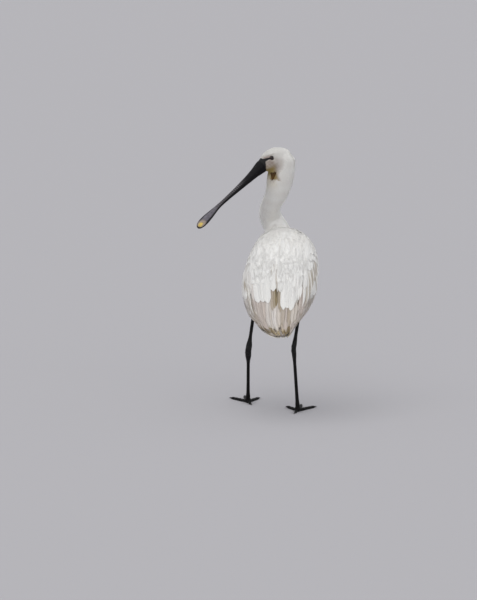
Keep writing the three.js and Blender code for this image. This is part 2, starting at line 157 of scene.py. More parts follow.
BILL_BASE = in_head(38.7, 0.4, 0)
BILL_WAY, BILL_UP = pitched(BILL_PITCH), risen(BILL_PITCH)
BILL_LENGTH = 207
bill_half = Profile((-9, 0), (-8, 10), (0, 12), (25, 10.7), (60, 9.4), (95, 8.2), (116, 7.9), (131, 9.0), (146, 12.2), (160, 17.2), (173, 21.2), (185, 22.6), (195, 20.6), (202, 15), (206, 7), (207, 0))
bill_top = Profile((-9, 0), (-8, 12), (0, 14.8), (12, 13), (25, 11), (60, 7.8), (100, 5.2), (130, 3.8), (160, 2.7), (195, 2.3), (207, 0))
bill_under = Profile((-9, 0), (-8, 12), (0, 14.6), (12, 12.4), (25, 9.6), (60, 6.1), (100, 4.0), (130, 3.0), (160, 2.2), (195, 1.9), (207, 0))
bill_sag = Profile((-9, 0), (30, 0), (70, 1.6), (110, 4.2), (145, 6), (175, 5.6), (195, 4.2), (207, 2.2))

LEGS = {
    "left": dict(ankle=A(-71.6, 45, 131), joint=(7.3, 6.4), knee=A(0.143, 0.3, 0.95), foot=(-72, 112), heading=6),
    "right": dict(ankle=A(30.8, -28, 148.5), joint=(5.6, 7.4), knee=A(0.148, 0.4, 0.9), foot=(40, -4), heading=-7),
}
BARE_TIBIA = 86
TARSUS_HEIGHT = 9
SHIN = 3.9
TOES = [("middle", 0, 76, 4.3), ("inner", 31, 58, 4), ("outer", -29, 66, 4), ("hind", 172, 27, 3.4)]

# design millimetres to the frame's metres: the left eye says where the design lies in the frame
lo, hi = (np.array(c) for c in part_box("eye_left"))
SHIFT = (lo + hi) / 2 * 1000 - in_head(EYE["f"], EYE["u"], EYE["l"])
SHIFT[2] = 0


def row(p):
    return (np.asarray(p, float) + SHIFT) / 1000


# ------------------------------------------------------------------ neck line
class CatmullRom:
    """Centripetal spline, by arc length."""

    def __init__(self, pts, n=1500):
        p = np.array(pts, float)
        p = np.vstack([2 * p[0] - p[1], p, 2 * p[-1] - p[-2]])
        out = []
        for i in range(1, len(p) - 2):
            p0, p1, p2, p3 = p[i - 1 : i + 3]
            d1, d2, d3 = (max(np.linalg.norm(b - a) ** 0.5, 1e-4) for a, b in ((p0, p1), (p1, p2), (p2, p3)))
            m1 = ((p1 - p0) / d1 - (p2 - p0) / (d1 + d2) + (p2 - p1) / d2) * d2
            m2 = ((p2 - p1) / d2 - (p3 - p1) / (d2 + d3) + (p3 - p2) / d3) * d2
            t = np.linspace(0, 1, 60, endpoint=False)[:, None]
            out.append((2 * t**3 - 3 * t**2 + 1) * p1 + (t**3 - 2 * t**2 + t) * m1 + (3 * t**2 - 2 * t**3) * p2 + (t**3 - t**2) * m2)
        out.append(p[-2][None])
        q = np.vstack(out)
        d = np.r_[0, np.cumsum(np.linalg.norm(np.diff(q, axis=0), axis=1))]
        self.k = np.linspace(0, 1, n)
        self.p = np.stack([np.interp(self.k * d[-1], d, q[:, j]) for j in range(3)], 1)
        self.t = unit(np.gradient(self.p, axis=0))
        self.length = d[-1]

    def at(self, k):
        return np.stack([np.interp(k, self.k, self.p[:, j]) for j in range(3)], -1)

    def way(self, k):
        return unit(np.stack([np.interp(k, self.k, self.t[:, j]) for j in range(3)], -1))

    def nearest(self, p, step=10):
        q, k = self.p[::step], self.k[::step]
        best = np.full(len(p), 1e9)
        kk = np.zeros(len(p))
        for i in range(len(q)):
            d = ((p - q[i]) ** 2).sum(1)
            m = d < best
            best[m], kk[m] = d[m], k[i]
        return kk, np.sqrt(best)


NECK = CatmullRom([
    (0, 98, 318), (0, 146, 350), (-6, 172, 388), (-18, 178, 413), (-23.5, 160, 434), (-18, 134, 457),
    (-8.5, 117, 479), (-2.5, 109, 501), (2, 106, 526), (6, 106, 550), (9, 106.5, 575),
])
neck_half = Profile((0, 52), (0.15, 44), (0.29, 32.5), (0.38, 26.5), (0.47, 24.5), (0.57, 22.5), (0.66, 24), (0.75, 27.5), (0.84, 31), (0.92, 29), (1, 25))
neck_deep = Profile((0, 52), (0.15, 47), (0.29, 38), (0.38, 31), (0.47, 26.5), (0.57, 23.5), (0.66, 23), (0.75, 23.5), (0.84, 24), (0.92, 24), (1, 22))
neck_back = Profile((0, 52), (0.15, 49), (0.29, 45), (0.38, 40), (0.47, 31.5), (0.57, 25), (0.66, 23.5), (0.75, 23.5), (0.84, 24), (0.92, 24), (1, 22))


# ------------------------------------------------------------------ mesh helpers
def new_object(name, verts_mm, faces, smooth_shade=True):
    m = bpy.data.meshes.new(name)
    m.from_pydata([tuple(v) for v in row(verts_mm)], [], [tuple(int(i) for i in f) for f in faces])
    m.validate()
    m.update()
    if smooth_shade:
        m.shade_smooth()
    o = bpy.data.objects.new(name, m)
    bpy.context.scene.collection.objects.link(o)
    return o


def loft(place, around, along, ease=True):
    """A closed body: place(t, a) gives points; its ends close on one point each."""
    t = np.arange(along + 1) / along
    a = np.arange(around) / around * 2 * np.pi
    T, AA = np.meshgrid(t[1:-1], a, indexing="ij")
    mid = place(T.ravel(), AA.ravel())
    p0 = place(np.array([0.0]), np.array([0.0]))
    p1 = place(np.array([1.0]), np.array([0.0]))
    v = np.vstack([p0, mid, p1])
    f = []
    n = around
    for j in range(n):
        f.append((0, 1 + (j + 1) % n, 1 + j))
    for i in range(along - 2):
        b = 1 + i * n
        for j in range(n):
            f.append((b + j, b + (j + 1) % n, b + n + (j + 1) % n, b + n + j))
    b = 1 + (along - 2) * n
    for j in range(n):
        f.append((b + j, b + (j + 1) % n, len(v) - 1))
    # faces out
    c = v.mean(0)
    q = f[len(f) // 2]
    nn = np.cross(v[q[1]] - v[q[0]], v[q[2]] - v[q[1]])
    if np.dot(nn, v[list(q)].mean(0) - v[1 + (len(f) // 2 - n) // n * n : 1 + (len(f) // 2 - n) // n * n + n].mean(0)) < 0:
        f = [tuple(reversed(x)) for x in f]
    return v, f


def join(parts):
    vs, fs, n = [], [], 0
    for v, f in parts:
        vs.append(v)
        fs += [tuple(i + n for i in x) for x in f]
        n += len(v)
    return np.vstack(vs), fs


def remeshed(name, parts, voxel_mm, passes, factor=0.5):
    v, f = join(parts)
    o = new_object(name + "_raw", v, f)
    r = o.modifiers.new("r", "REMESH")
    r.mode, r.voxel_size, r.use_smooth_shade = "VOXEL", voxel_mm / 1000, True
    if passes:
        s = o.modifiers.new("s", "SMOOTH")
        s.factor, s.iterations = factor, passes
    dg = bpy.context.evaluated_depsgraph_get()
    m = bpy.data.meshes.new_from_object(o.evaluated_get(dg))
    n = len(m.vertices)
    co = np.empty(n * 3)
    m.vertices.foreach_get("co", co)
    co = co.reshape(-1, 3) * 1000 - SHIFT
    faces = [tuple(p.vertices) for p in m.polygons]
    bpy.data.objects.remove(o)
    bpy.data.meshes.remove(m)
    return co, faces


def normals_of(v, f):
    m = bpy.data.meshes.new("n")
    m.from_pydata([tuple(x) for x in v], [], f)
    m.update()
    n = np.empty(len(v) * 3)
    m.vertices.foreach_get("normal", n)
    bpy.data.meshes.remove(m)
    return n.reshape(-1, 3)


def ring(a, half, up, down, exponent=2.0):
    c, s, p = np.cos(a), np.sin(a), 2 / exponent
    return half * np.sign(c) * np.abs(c) ** p, np.where(s > 0, up, down) * np.sign(s) * np.abs(s) ** p


def in_body(x, s, d):
    x, s, d = (np.asarray(v, float) for v in (x, s, d))
    return BREAST + s[..., None] * AXIS + d[..., None] * RISE + (x + sway(s))[..., None] * ACROSS


def body_surface(s, a, grow=0.0):
    """The outer form of the body at station s and angle a (0 right, 90 top, 180 left)."""
    x, d = ring(a, np.maximum(body_half(s) + grow, 0.3), np.maximum(body_up(s) + grow, 0.3), np.maximum(body_down(s) + grow, 0.3), 2.15)
    return in_body(x, s, d)


def body_normal(s, a):
    e = 0.6
    ds = body_surface(np.clip(s + e, 1, 416), a) - body_surface(np.clip(s - e, 1, 416), a)
    da = body_surface(s, a + 0.01) - body_surface(s, a - 0.01)
    n = unit(np.cross(da, ds))
    mid = in_body(np.zeros_like(s), s, np.zeros_like(s))
    out = body_surface(s, a) - mid
    flip = dot(n, out) < 0
    n[flip] *= -1
    return n


# ------------------------------------------------------------------ skin: one surface inside the coat
COAT = dict(body=3.2, neck=2.0, head=1.15, thigh=2.4)


def skin_body():
    end = 396.0

    def place(t, a):
        s = end * (0.5 - 0.5 * np.cos(np.pi * t))
        k = ((t > 0) & (t < 1)).astype(float)
        g = -COAT["body"] - 4.6 * smooth(s, 190, 290) * smooth(np.sin(a), -0.9, -0.3)
        x, d = ring(a, np.maximum(body_half(s) + g, 1.2), np.maximum(body_up(s) + g, 1.2), np.maximum(body_down(s) - COAT["body"], 1.2), 2.15)
        return in_body(x * k, s + COAT["body"] * np.cos(np.pi * t) * (t < 0.5), d * k)

    return loft(place, 72, 80)


def skin_neck():
    def place(t, a):
        k = 0.5 - 0.5 * np.cos(np.pi * t)
        at, way = NECK.at(k), NECK.way(k)
        end = np.sqrt(np.minimum(1, np.sin(np.pi * t) * 2.6))
        across = unit(A(1, 0, 0) - way * way[:, :1])
        front = np.cross(way, across)
        pole = np.where((t > 0) & (t < 1), end, 0)
        g = COAT["neck"] + (COAT["head"] - COAT["neck"]) * smooth(k, 0.8, 1.0)
        return at + across * (pole * (neck_half(k) - g) * np.cos(a))[:, None] + front * (pole * (np.where(np.sin(a) > 0, neck_deep(k), neck_back(k)) - g) * np.sin(a))[:, None]

    return loft(place, 48, 90)


def head_surface(f, a, grow=0.0):
    l, u = ring(a, np.maximum(head_half(f) + grow, 0), np.maximum(head_top(f) + grow, 0), np.maximum(head_bottom(f) + grow, 0), 2.1)
    lean = np.radians(head_bend(f))
    return in_head(f + u * np.sin(lean), u * np.cos(lean), l)


def skin_head():
    def place(t, a):
        f = -38 + 80 * (0.5 - 0.5 * np.cos(np.pi * t))
        k = ((t > 0) & (t < 1)).astype(float)
        l, u = ring(a, k * np.maximum(head_half(f) - COAT["head"], 0.5), k * np.maximum(head_top(f) - COAT["head"], 0.5), k * np.maximum(head_bottom(f) - COAT["head"], 0.5), 2.1)
        lean = np.radians(head_bend(f))
        end = COAT["head"] * np.cos(np.pi * t)
        return in_head(f + end + u * np.sin(lean), u * np.cos(lean), l)

    return loft(place, 60, 56)


thigh_size = Profile((0, 0), (3, 6.5), (10, 9.5), (35, 15), (75, 22), (110, 24), (125, 0))
knob = Profile((-15, 0.75), (-8, 0.94), (0, 1), (12, 0.97), (20, 0.62), (28, 0.2), (38, 0), (200, 0))


def limb(start, way, lo_q, hi_q, size, lean=0.0):
    across = unit(A(1, 0, 0) - way * way[0])
    fore = np.cross(way, across)

    def place(t, a):
        q = lo_q + (hi_q - lo_q) * (0.5 - 0.5 * np.cos(np.pi * t))
        wide, deep = size(q)
        k = ((t > 0) & (t < 1)).astype(float)
        return (
            start + q[:, None] * way
            + (lean * (np.maximum(q, 0) / hi_q) ** 1.6)[:, None] * A(1, 0, 0)
            + (k * wide * np.cos(a))[:, None] * across
            + (k * deep * np.sin(a))[:, None] * fore
        )

    return place


def thigh_parts(side):
    leg = LEGS[side]
    up = unit(leg["knee"])
    start = leg["ankle"] + up * BARE_TIBIA
    inward = 24 if side == "left" else -24
    g = COAT["thigh"]

    def size(q):
        r = np.maximum(thigh_size(q) - g, 0.5 + 3.2 * smooth(q, -2, 3))
        return r, 1.2 * r

    return loft(limb(start, up, 0, 124, size, inward), 32, 40), start, up, inward


def leg_measures(side):
    leg = LEGS[side]
    up = unit(leg["knee"])
    foot = A(leg["foot"][0], leg["foot"][1], TARSUS_HEIGHT)
    down = foot - leg["ankle"]
    reach = np.linalg.norm(down)
    return leg, up, foot, down / reach, reach


def leg_parts(side):
    leg, up, foot, down, reach = leg_measures(side)
    parts = []

    def bone(thick):
        return lambda q: tuple(thick(q) * ((1.15 if i else 1) * SHIN + knob(q) * (r - SHIN)) for i, r in enumerate(leg["joint"]))

    shank = Profile((-12, 0), (-10, 0.7), (-4, 0.95), (70, 1), (100, 1.12), (110, 1.1), (111, 0.3))
    tarsus = Profile((-12, 0), (-10, 0.7), (-4, 0.95), (reach - 45, 0.98), (reach - 20, 1.08), (reach - 6, 1.3), (reach, 1.3), (reach + 2, 0.4))
    parts.append(loft(limb(leg["ankle"], up, -12, 111, bone(shank)), 28, 120))
    parts.append(loft(limb(leg["ankle"], down, -12, reach + 2, bone(tarsus)), 28, 140))

    # the foot: a pad under the joint, toes with swollen joints, and small webs
    def ball(centre, r):
        def place(t, a):
            th = np.pi * t
            return centre + r * np.stack([np.sin(th) * np.cos(a), np.sin(th) * np.sin(a), np.cos(th)], 1)
        return loft(place, 20, 14)

    parts.append(ball(A(foot[0], foot[1], 6.4), 7.2))
    turn = 1 if side == "left" else -1
    claws = []
    for name, degrees, length, r in TOES:
        h_a = rad(leg["heading"] + turn * -degrees)
        h = A(-math.sin(h_a), math.cos(h_a), 0)
        across = A(h[1], -h[0], 0)
        size = Profile((0, 0), (1.5, r * 0.9), (length * 0.5, r * 0.9), (length * 0.85, r * 0.8), (length - 1, r * 0.62), (length, 0))
        joints = {"middle": (0.36, 0.62, 0.84), "inner": (0.45, 0.8), "outer": (0.3, 0.5, 0.68, 0.86), "hind": (0.7,)}[name]

        def place(t, a, h=h, across=across, size=size, length=length, r=r, joints=joints):
            q = length * (0.5 - 0.5 * np.cos(np.pi * t))
            k = ((t > 0) & (t < 1)).astype(float)
            bulge = sum(0.16 * np.exp(-(((q - j * length) / 3.6) ** 2)) for j in joints) - 0.05
            scute = 0.035 * np.abs(np.sin(np.pi * q / 2.9)) * (np.sin(a) > 0.1)
            rr = k * size(q) * (1 + bulge + scute)
            lift = 0.8 * r + (TARSUS_HEIGHT - 4) * np.maximum(0, 1 - q / 16) ** 2 - 0.25 * r * (q / length)
            return (
                A(foot[0], foot[1], 0) + lift[:, None] * UP + q[:, None] * h
                + (rr * np.cos(a))[:, None] * across + (rr * np.sin(a))[:, None] * UP
            )

        parts.append(loft(place, 18, int(length * 1.5)))
        tip = A(foot[0], foot[1], 0) + h * (length + 0.3)

        def claw(t, a, h=h, across=across, tip=tip, r=r):
            k = 0.5 - 0.5 * np.cos(np.pi * t)
            rr = np.where((t > 0) & (t < 1), r * 0.5 * (1 - k) ** 0.7 * np.minimum(1, t * 9) + 0.2, 0)
            z = np.maximum(0.35, 0.62 * r - 0.9 + 1.02 * np.sin(2.4 * k) - 1.0 * k)
            flat = np.where(np.sin(a) < 0, 0.75, 1.0)
            return tip + (-1.6 + 10.4 * k)[:, None] * h + (rr * 0.8 * np.cos(a))[:, None] * across + (z + rr * flat * np.sin(a))[:, None] * UP

        claws.append((name, loft(claw, 16, 22)))
    heading = lambda deg: A(-math.sin(rad(leg["heading"] - turn * deg)), math.cos(rad(leg["heading"] - turn * deg)), 0)
    for a_deg, b_deg, far in ((0, 31, 25), (0, -29, 27)):
        ha, hb = heading(a_deg), heading(b_deg)

        def web(t, a, ha=ha, hb=hb, far=far):
            q = t
            w = (ha + hb) / 2
            reach_q = 0.5 - 0.5 * np.cos(a)
            d = ha * (1 - reach_q)[:, None] + hb * reach_q[:, None]
            out = far * (1 - 0.5 * np.sin(np.pi * reach_q)) * np.sin(np.pi * q / 2) ** 0.8
            thick = 1.0 * np.sin(a)
            return A(foot[0], foot[1], 2.0) + out[:, None] * d + (np.where((t > 0) & (t < 1), thick, 0) * (1 - q) ** 0.4)[:, None] * UP

        parts.append(loft(web, 20, 14))
    return parts, claws


print("skin")
body_v, body_f = remeshed("skin", [skin_body(), skin_neck(), skin_head(), thigh_parts("left")[0], thigh_parts("right")[0]], 2.3, 6)
body_v = np.array(body_v)


def finer(v, f, pick, cuts):
    """The same surface with the picked part divided more finely."""
    bm = bmesh.new()
    vs = [bm.verts.new(x) for x in v]
    for face in f:
        bm.faces.new([vs[i] for i in face])
    bm.verts.index_update()
    edges = [e for e in bm.edges if pick[e.verts[0].index] and pick[e.verts[1].index]]
    bmesh.ops.subdivide_edges(bm, edges=edges, cuts=cuts, smooth=0.6, use_grid_fill=True)
    many = [x for x in bm.faces if len(x.verts) > 4]
    bmesh.ops.triangulate(bm, faces=many)
    bm.verts.index_update()
    out_v = np.array([x.co[:] for x in bm.verts])
    out_f = [tuple(x.index for x in y.verts) for y in bm.faces]
    bm.free()
    return out_v, out_f


hf, hu, hl = to_head(body_v)
body_v, body_f = finer(body_v, body_f, (hf > -4) & (body_v[:, 2] > 512) & (hu > -46), 2)
N = normals_of(body_v, body_f)
EYES = {}
for sgn in (1, -1):
    e = in_head(EYE["f"], EYE["u"], EYE["l"] * sgn)
    gaze = unit(LEFT * sgn * 0.96 + HF * 0.22 + HU * 0.1)
    near = np.linalg.norm(body_v - (e + gaze * 5.3), axis=1) < 6
    gaze = unit(gaze * 0.7 + unit(N[near].mean(0)) * 0.3)
    EYES[sgn] = (e, e + gaze * 5.0, gaze)
    d = body_v - e
    high = d @ gaze
    r = np.linalg.norm(d - high[:, None] * gaze, axis=1)
    sink = (1 - smooth(r, 5.2, 9.5)) * (high > 0)
    body_v -= gaze * (np.maximum(high - 3.7, 0) * sink)[:, None]
N = normals_of(body_v, body_f)
BVH = BVHTree.FromPolygons([tuple(x) for x in body_v], body_f)

# ------------------------------------------------------------------ fields on the skin: lie, size and colour of the coat
def classify(p):
    """Which part of the bird a point of the skin belongs to, as smooth weights, with the lie of the feathers there."""
    f, u, l = to_head(p)
    d = p - BREAST
    s = dot(d, AXIS)
    over = dot(d, RISE)
    x = dot(d, ACROSS) - sway(np.clip(s, 0, LENGTH))
    k, dist = NECK.nearest(p)
    way = NECK.way(k)
    across = unit(A(1, 0, 0) - way * way[:, :1])
    off = p - NECK.at(k)
    front = np.cross(way, across)
    hr = np.sqrt((dot(off, across) / neck_half(k)) ** 2 + (dot(off, front) / neck_deep(k)) ** 2)
    fc = np.clip(f, -37, 41)
    hh = np.sqrt((l / np.maximum(head_half(fc), 4)) ** 2 + (u / np.where(u > 0, np.maximum(head_top(fc), 4), np.maximum(head_bottom(fc), 4))) ** 2)
    head = smooth(f, -30, -8) * smooth(-hh, -1.35, -1.02) * (p[:, 2] > 515)
    head = np.maximum(head, smooth(f, 8, 20) * (p[:, 2] > 520))
    inside = np.sqrt((x / np.maximum(body_half(np.clip(s, 3, 415)), 3)) ** 2 + (over / np.where(over > 0, np.maximum(body_up(np.clip(s, 3, 415)), 3), np.maximum(body_down(np.clip(s, 3, 415)), 3))) ** 2)
    bodyness = smooth(s, 2, 26) * smooth(-inside, -1.2, -1.0)
    neck = (1 - head) * smooth(k, 0.18, 0.34) * (1 - bodyness)
    thigh = np.zeros(len(p))
    thigh_way = np.zeros((len(p), 3))
    for side in LEGS:
        _, start, up, inward = THIGHS[side]
        q = dot(p - start, up)
        line = start + np.clip(q, -5, 125)[:, None] * up + (inward * (np.clip(q, 0, 125) / 124) ** 1.6)[:, None] * A(1, 0, 0)
        r = np.linalg.norm(p - line, axis=1)
        w = smooth(-r, -(thigh_size(np.clip(q, 1, 110)) + 6), -(thigh_size(np.clip(q, 1, 110)) - 1)) * smooth(-inside, -1.25, -0.98) * 0
        w = np.maximum(w, (inside > 1.0) * (r < thigh_size(np.clip(q, 1, 110)) + 5) * (q > -8) * (p[:, 2] < 300) * 1.0)
        m = w > thigh
        thigh[m], thigh_way[m] = w[m], -up
    neck = neck * (1 - thigh) * (p[:, 2] > 300)
    return dict(f=f, u=u, l=l, s=s, x=x, d=over, k=k, head=head, neck=neck, thigh=thigh, way=way, thigh_way=thigh_way, a=np.arctan2(over, x))


THIGHS = {side: thigh_parts(side) for side in LEGS}
C = classify(body_v)
head_w, neck_w, thigh_w = C["head"][:, None], C["neck"][:, None], C["thigh"][:, None]
FLOW = AXIS * 0.95 + A(0, 0, -0.22)
back_of_head = unit(-HF * 0.8 + HU * 0.12)
FLOW = FLOW * (1 - neck_w) + (-C["way"]) * neck_w
bend_back = smooth(C["f"], 22, -24)[:, None] * smooth(C["u"], 10, -22)[:, None]
head_flow = unit(back_of_head * (1 - 0.75 * bend_back) + (-C["way"]) * 0.75 * bend_back)
chin = (smooth(-C["u"], 10, 21) * smooth(C["f"], -6, 14))[:, None]
head_flow = unit(head_flow * (1 - chin) + unit(-C["way"] - 0.25 * HF) * chin)
FLOW = FLOW * (1 - head_w) + head_flow * head_w
FLOW = FLOW * (1 - thigh_w) + C["thigh_way"] * thigh_w


def edges_of(faces):
    q = np.array([f if len(f) == 4 else (f[0], f[1], f[2], f[0]) for f in faces])
    e = np.vstack([q[:, [0, 1]], q[:, [1, 2]], q[:, [2, 3]], q[:, [3, 0]]])
    e = e[e[:, 0] != e[:, 1]]
    e.sort(axis=1)
    return np.unique(e, axis=0)


E = edges_of(body_f)
deg = np.bincount(E.ravel(), minlength=len(body_v)).astype(float)


def spread(field, passes):
    """Average a field over the skin's own surface."""
    field = field.copy()
    for _ in range(passes):
        acc = np.zeros_like(field)
        np.add.at(acc, E[:, 0], field[E[:, 1]])
        np.add.at(acc, E[:, 1], field[E[:, 0]])
        field = 0.35 * field + 0.65 * acc / deg.reshape(-1, *([1] * (field.ndim - 1)))
    return field


FLOW = unit(FLOW - N * dot(FLOW, N)[:, None])
for _ in range(5):
    FLOW = spread(FLOW, 5)
    FLOW = unit(FLOW - N * dot(FLOW, N)[:, None])


def look(c):
    """Spacing, length, half width and height of the coat's feathers, from the part of the bird."""
    s, a, k = c["s"], c["a"], c["k"]
    back = smooth(np.sin(a), -0.1, 0.5)
    body_space = 6.6 - 1.9 * smooth(s, 120, 10) - 0.8 * (1 - back)
    body_len = 14.5 + 9.5 * smooth(s, 8, 60) + 10 * smooth(s, 30, 160)
    body_wide = 4.5 + 1.1 * smooth(s, 8, 60) + 1.2 * smooth(s, 30, 160) * (0.4 + 0.6 * back)
    neck_space = 1.45 + 1.75 * smooth(-k, -0.72, -0.25)
    neck_len = 8.5 + 12 * smooth(-k, -0.8, -0.25)
    neck_wide = 1.05 + 1.75 * smooth(-k, -0.8, -0.25)
    face = smooth(c["f"], -15, 30)
    head_space = 1.12 - 0.28 * face
    head_len = 6.2 - 3.7 * face
    head_wide = 0.70 - 0.26 * face
    vals = []
    for b, n, h, t in ((body_space, neck_space, head_space, 2.6), (body_len, neck_len, head_len, 15), (body_wide, neck_wide, head_wide, 1.5), (COAT["body"], COAT["neck"], COAT["head"], COAT["thigh"])):
        v = b * (1 - c["neck"]) + n * c["neck"]
        v = v * (1 - c["head"]) + h * c["head"]
        vals.append(v * (1 - c["thigh"]) + t * c["thigh"])
    return np.stack(vals, 1)


LOOK = spread(look(C), 8)

def fold(c):
    """The bare fold of the throat, orange skin painted dark brown with the fold's shade, a wedge that points down
    behind the chin: 1 inside it, 0 well outside.
    """
    f, u, l = c["f"], c["u"], np.abs(c["l"])
    along = np.clip((-19.5 - u) / 16.5, -0.3, 1.2)
    rear, fore = 15.0 + 12.5 * along, 24.0 + 4.6 * along
    inside = np.minimum(np.minimum(f - rear, fore - f), np.minimum((-u - 18.6) * 1.3, (u + 36.5)))
    return smooth(inside + 1.7, 0.0, 1.6) * smooth(l, 3.0, 5.5) * smooth(-l, -21, -18)


# bare skin: the lores, the edge of the bill and the fold of the throat
def bare(c):
    """0 feathered, 1 bare black lores, 2 bare throat."""
    f, u, l = c["f"], c["u"], np.abs(c["l"])
    out = np.zeros(len(f), int)
    on = (c["head"] > 0.4) | (f > 12) & (u > -42)
    out[(fold(c) > 0.5) & on] = 2
    lore = (f > 18.6) & (np.abs(u - 14.0) < 1.9 + 0.12 * (f - 19)) & (l > 3)
    edge = np.where(u < 11, f + 0.27 * np.clip(u, -4, 9.5) > 33.6, f > 33.4)
    out[(lore | edge) & (c["head"] > 0.4)] = 1
    return out


# ------------------------------------------------------------------ colours, the same for skin and coat (linear)
WHITE = A(0.80, 0.79, 0.765)
CREAM = A(0.72, 0.67, 0.56)
BEIGE = A(0.46, 0.40, 0.345)
PINK = A(0.535, 0.465, 0.43)
OLIVE = A(0.235, 0.18, 0.085)
BROWN = A(0.30, 0.245, 0.18)


def mix(a, b, t):
    t = np.asarray(t, float)[..., None]
    return a * (1 - t) + b * t


def marking(p, c):
    """Plumage colour at a point of the bird, with some painted shade on the neck and face, and how much it is streaked
    with stain.
    """
    n1, n2 = noise(p, 38, 1), noise(p, 12, 2)
    col = mix(np.broadcast_to(WHITE, p.shape), WHITE * A(0.94, 0.93, 0.92), 0.5 + 0.5 * n1)
    # long feathers of the wing and tail: worn and stained where they have lain in mud and water
    back = np.sin(c["a"])
    sidew = np.abs(np.cos(c["a"]))
    rear = smooth(c["s"] + 7 * n2, 322, 338) * (c["head"] < 0.1)
    flank = smooth(c["s"] + 12 * n2, 225, 262) * smooth(sidew, 0.72, 0.93) * (c["neck"] < 0.2)
    stain = np.maximum(rear, flank * 0.85)
    col = mix(col, mix(np.broadcast_to(PINK, p.shape), BEIGE, 0.5 + 0.5 * n2), stain * 0.85)
    tip = smooth(c["s"] + 3 * n2, 384, 398)
    col = mix(col, OLIVE, tip * 0.85 * (back > -0.4))
    # painted shade: a greyish mottled shadow of the neck's folds down its left side
    neck_fold_shade = np.exp(-(((p[:, 0] + 36 + 3 * n2) / 6.5) ** 2)) * smooth(p[:, 2], 405, 425) * smooth(-p[:, 2], -490, -462) * c["neck"] * (0.55 + 0.45 * noise(p, 7, 14))
    col = mix(col, A(0.47, 0.44, 0.43), np.clip(neck_fold_shade, 0, 1) * 0.42)
    # the face is a little rosy, the chin and cheek by the bill yellowish
    f, u, l = c["f"], c["u"], np.abs(c["l"])
    n3 = noise(p, 5, 3)
    rosy = c["head"] * smooth(f, -6, 22) * smooth(-u, -24, -6) * (0.8 + 0.2 * n3)
    col = mix(col, A(0.36, 0.28, 0.232), rosy * 0.97)
    # painted shade: a brownish band down the rear edge of the cheek, where the head meets the neck
    rear_cheek_shade = c["head"] * np.exp(-(((f + 0.35 * u - 1) / 5) ** 2)) * smooth(-u, -12, 6)
    col = mix(col, A(0.50, 0.43, 0.38), rear_cheek_shade * 0.35)
    eye_d = np.sqrt((f - 15.4) ** 2 + (u - 12.9) ** 2)
    col = mix(col, A(0.06, 0.042, 0.036), smooth(-eye_d, -5.9, -5.2) * c["head"] * 0.8)
    ahead = np.exp(-(((u - 16.8 - 0.12 * (f - 20)) / 1.6) ** 2)) * smooth(f, 15, 19) * smooth(-f, -33, -29) * c["head"]
    col = mix(col, A(0.26, 0.15, 0.12), ahead * 0.7)
    # painted shade: a dull line over the eye, the shadow of the brow ridge
    brow_shade = np.exp(-(((u - 19.2 - 0.1 * (f - 15)) / 1.5) ** 2)) * smooth(f, 4, 12) * smooth(-f, -29, -20) * c["head"]
    col = mix(col, A(0.30, 0.24, 0.21), brow_shade * 0.45)
    tan = c["head"] * smooth(f, 10, 20) * smooth(-u, -3, 6)
    col = mix(col, A(0.42, 0.33, 0.22), tan * 0.7)
    cheek = c["head"] * smooth(f, 14, 23) * smooth(-u, 4, 11)
    col = mix(col, A(0.36, 0.26, 0.065), cheek * 0.92)
    near_fold = smooth(-np.abs(f - 22 + 0.75 * (u + 27)), -9, -3) * smooth(-u, 15, 20) * smooth(u, -41, -34) * smooth(l, 3, 8)
    col = mix(col, A(0.24, 0.15, 0.045), near_fold * 0.45)
    throat = smooth(-u, 20, 30) * smooth(f, 16, 26) * smooth(u, -62, -30)
    col = mix(col, CREAM, throat * 0.7 * (1 - near_fold))
    return col, np.clip(stain, 0, 1)


BARE = bare(C)
SKIN_COL, _ = marking(body_v, C)
# painted shade: the skin a touch darker than the coat's colour, as it lies under the feathers
SKIN_COL = SKIN_COL * 0.98
b = np.stack([spread((BARE == i).astype(float), 1) for i in (1, 2)], 1)
SKIN_COL = mix(SKIN_COL, A(0.009, 0.0085, 0.0095), np.clip(b[:, 0] * 1.6, 0, 1))
# the fold's bare skin: orange of its own, mixed by noise with dark brown, more so towards its upper end; the dark
# brown is painted shade of the fold
gular_skin_and_fold_shade = mix(np.broadcast_to(A(0.125, 0.062, 0.011), body_v.shape), A(0.034, 0.018, 0.008), np.clip(0.45 + 0.6 * noise(body_v, 4, 9) + 0.5 * smooth(C["u"], -30, -20), 0, 1))
SKIN_COL = mix(SKIN_COL, gular_skin_and_fold_shade, np.clip(b[:, 1] * 1.4, 0, 1))

# ------------------------------------------------------------------ unwrap of the skin's own shape
def chart(p, c):
    u = (np.arctan2(c["d"], c["x"]) / (2 * np.pi) + 0.75) % 1.0  # opens along the belly
    v = 0.02 + 0.48 * np.clip(c["s"] / LENGTH, 0, 1)
    across = unit(A(1, 0, 0) - c["way"] * c["way"][:, :1])
    front = np.cross(c["way"], across)
    off = p - NECK.at(c["k"])
    un = (np.arctan2(dot(off, front), dot(off, across)) / (2 * np.pi) + 0.75) % 1.0
    is_neck = (c["neck"] > 0.5) & (c["head"] <= 0.5)
    u = np.where(is_neck, un, u)
    v = np.where(is_neck, 0.52 + 0.22 * np.clip((c["k"] - 0.15) / 0.85, 0, 1), v)
    is_head = c["head"] > 0.5
    uh = (np.arctan2(c["u"], c["l"]) / (2 * np.pi) + 0.75) % 1.0
    u = np.where(is_head, uh, u)
    v = np.where(is_head, 0.76 + 0.10 * np.clip((c["f"] + 38) / 80, 0, 1), v)
    is_thigh = c["thigh"] > 0.5
    left = p[:, 0] < -5
    ut = (np.arctan2(p[:, 1] - np.where(left, 75, 25), p[:, 0] - np.where(left, -60, 50)) / (2 * np.pi) + 0.5) % 1.0
    u = np.where(is_thigh, np.where(left, 0.0, 0.5) + 0.48 * ut, u)
    v = np.where(is_thigh, 0.88 + 0.09 * np.clip((p[:, 2] - 200) / 130, 0, 1), v)
    return np.stack([0.015 + 0.965 * u, np.clip(v, 0.01, 0.985)], 1)


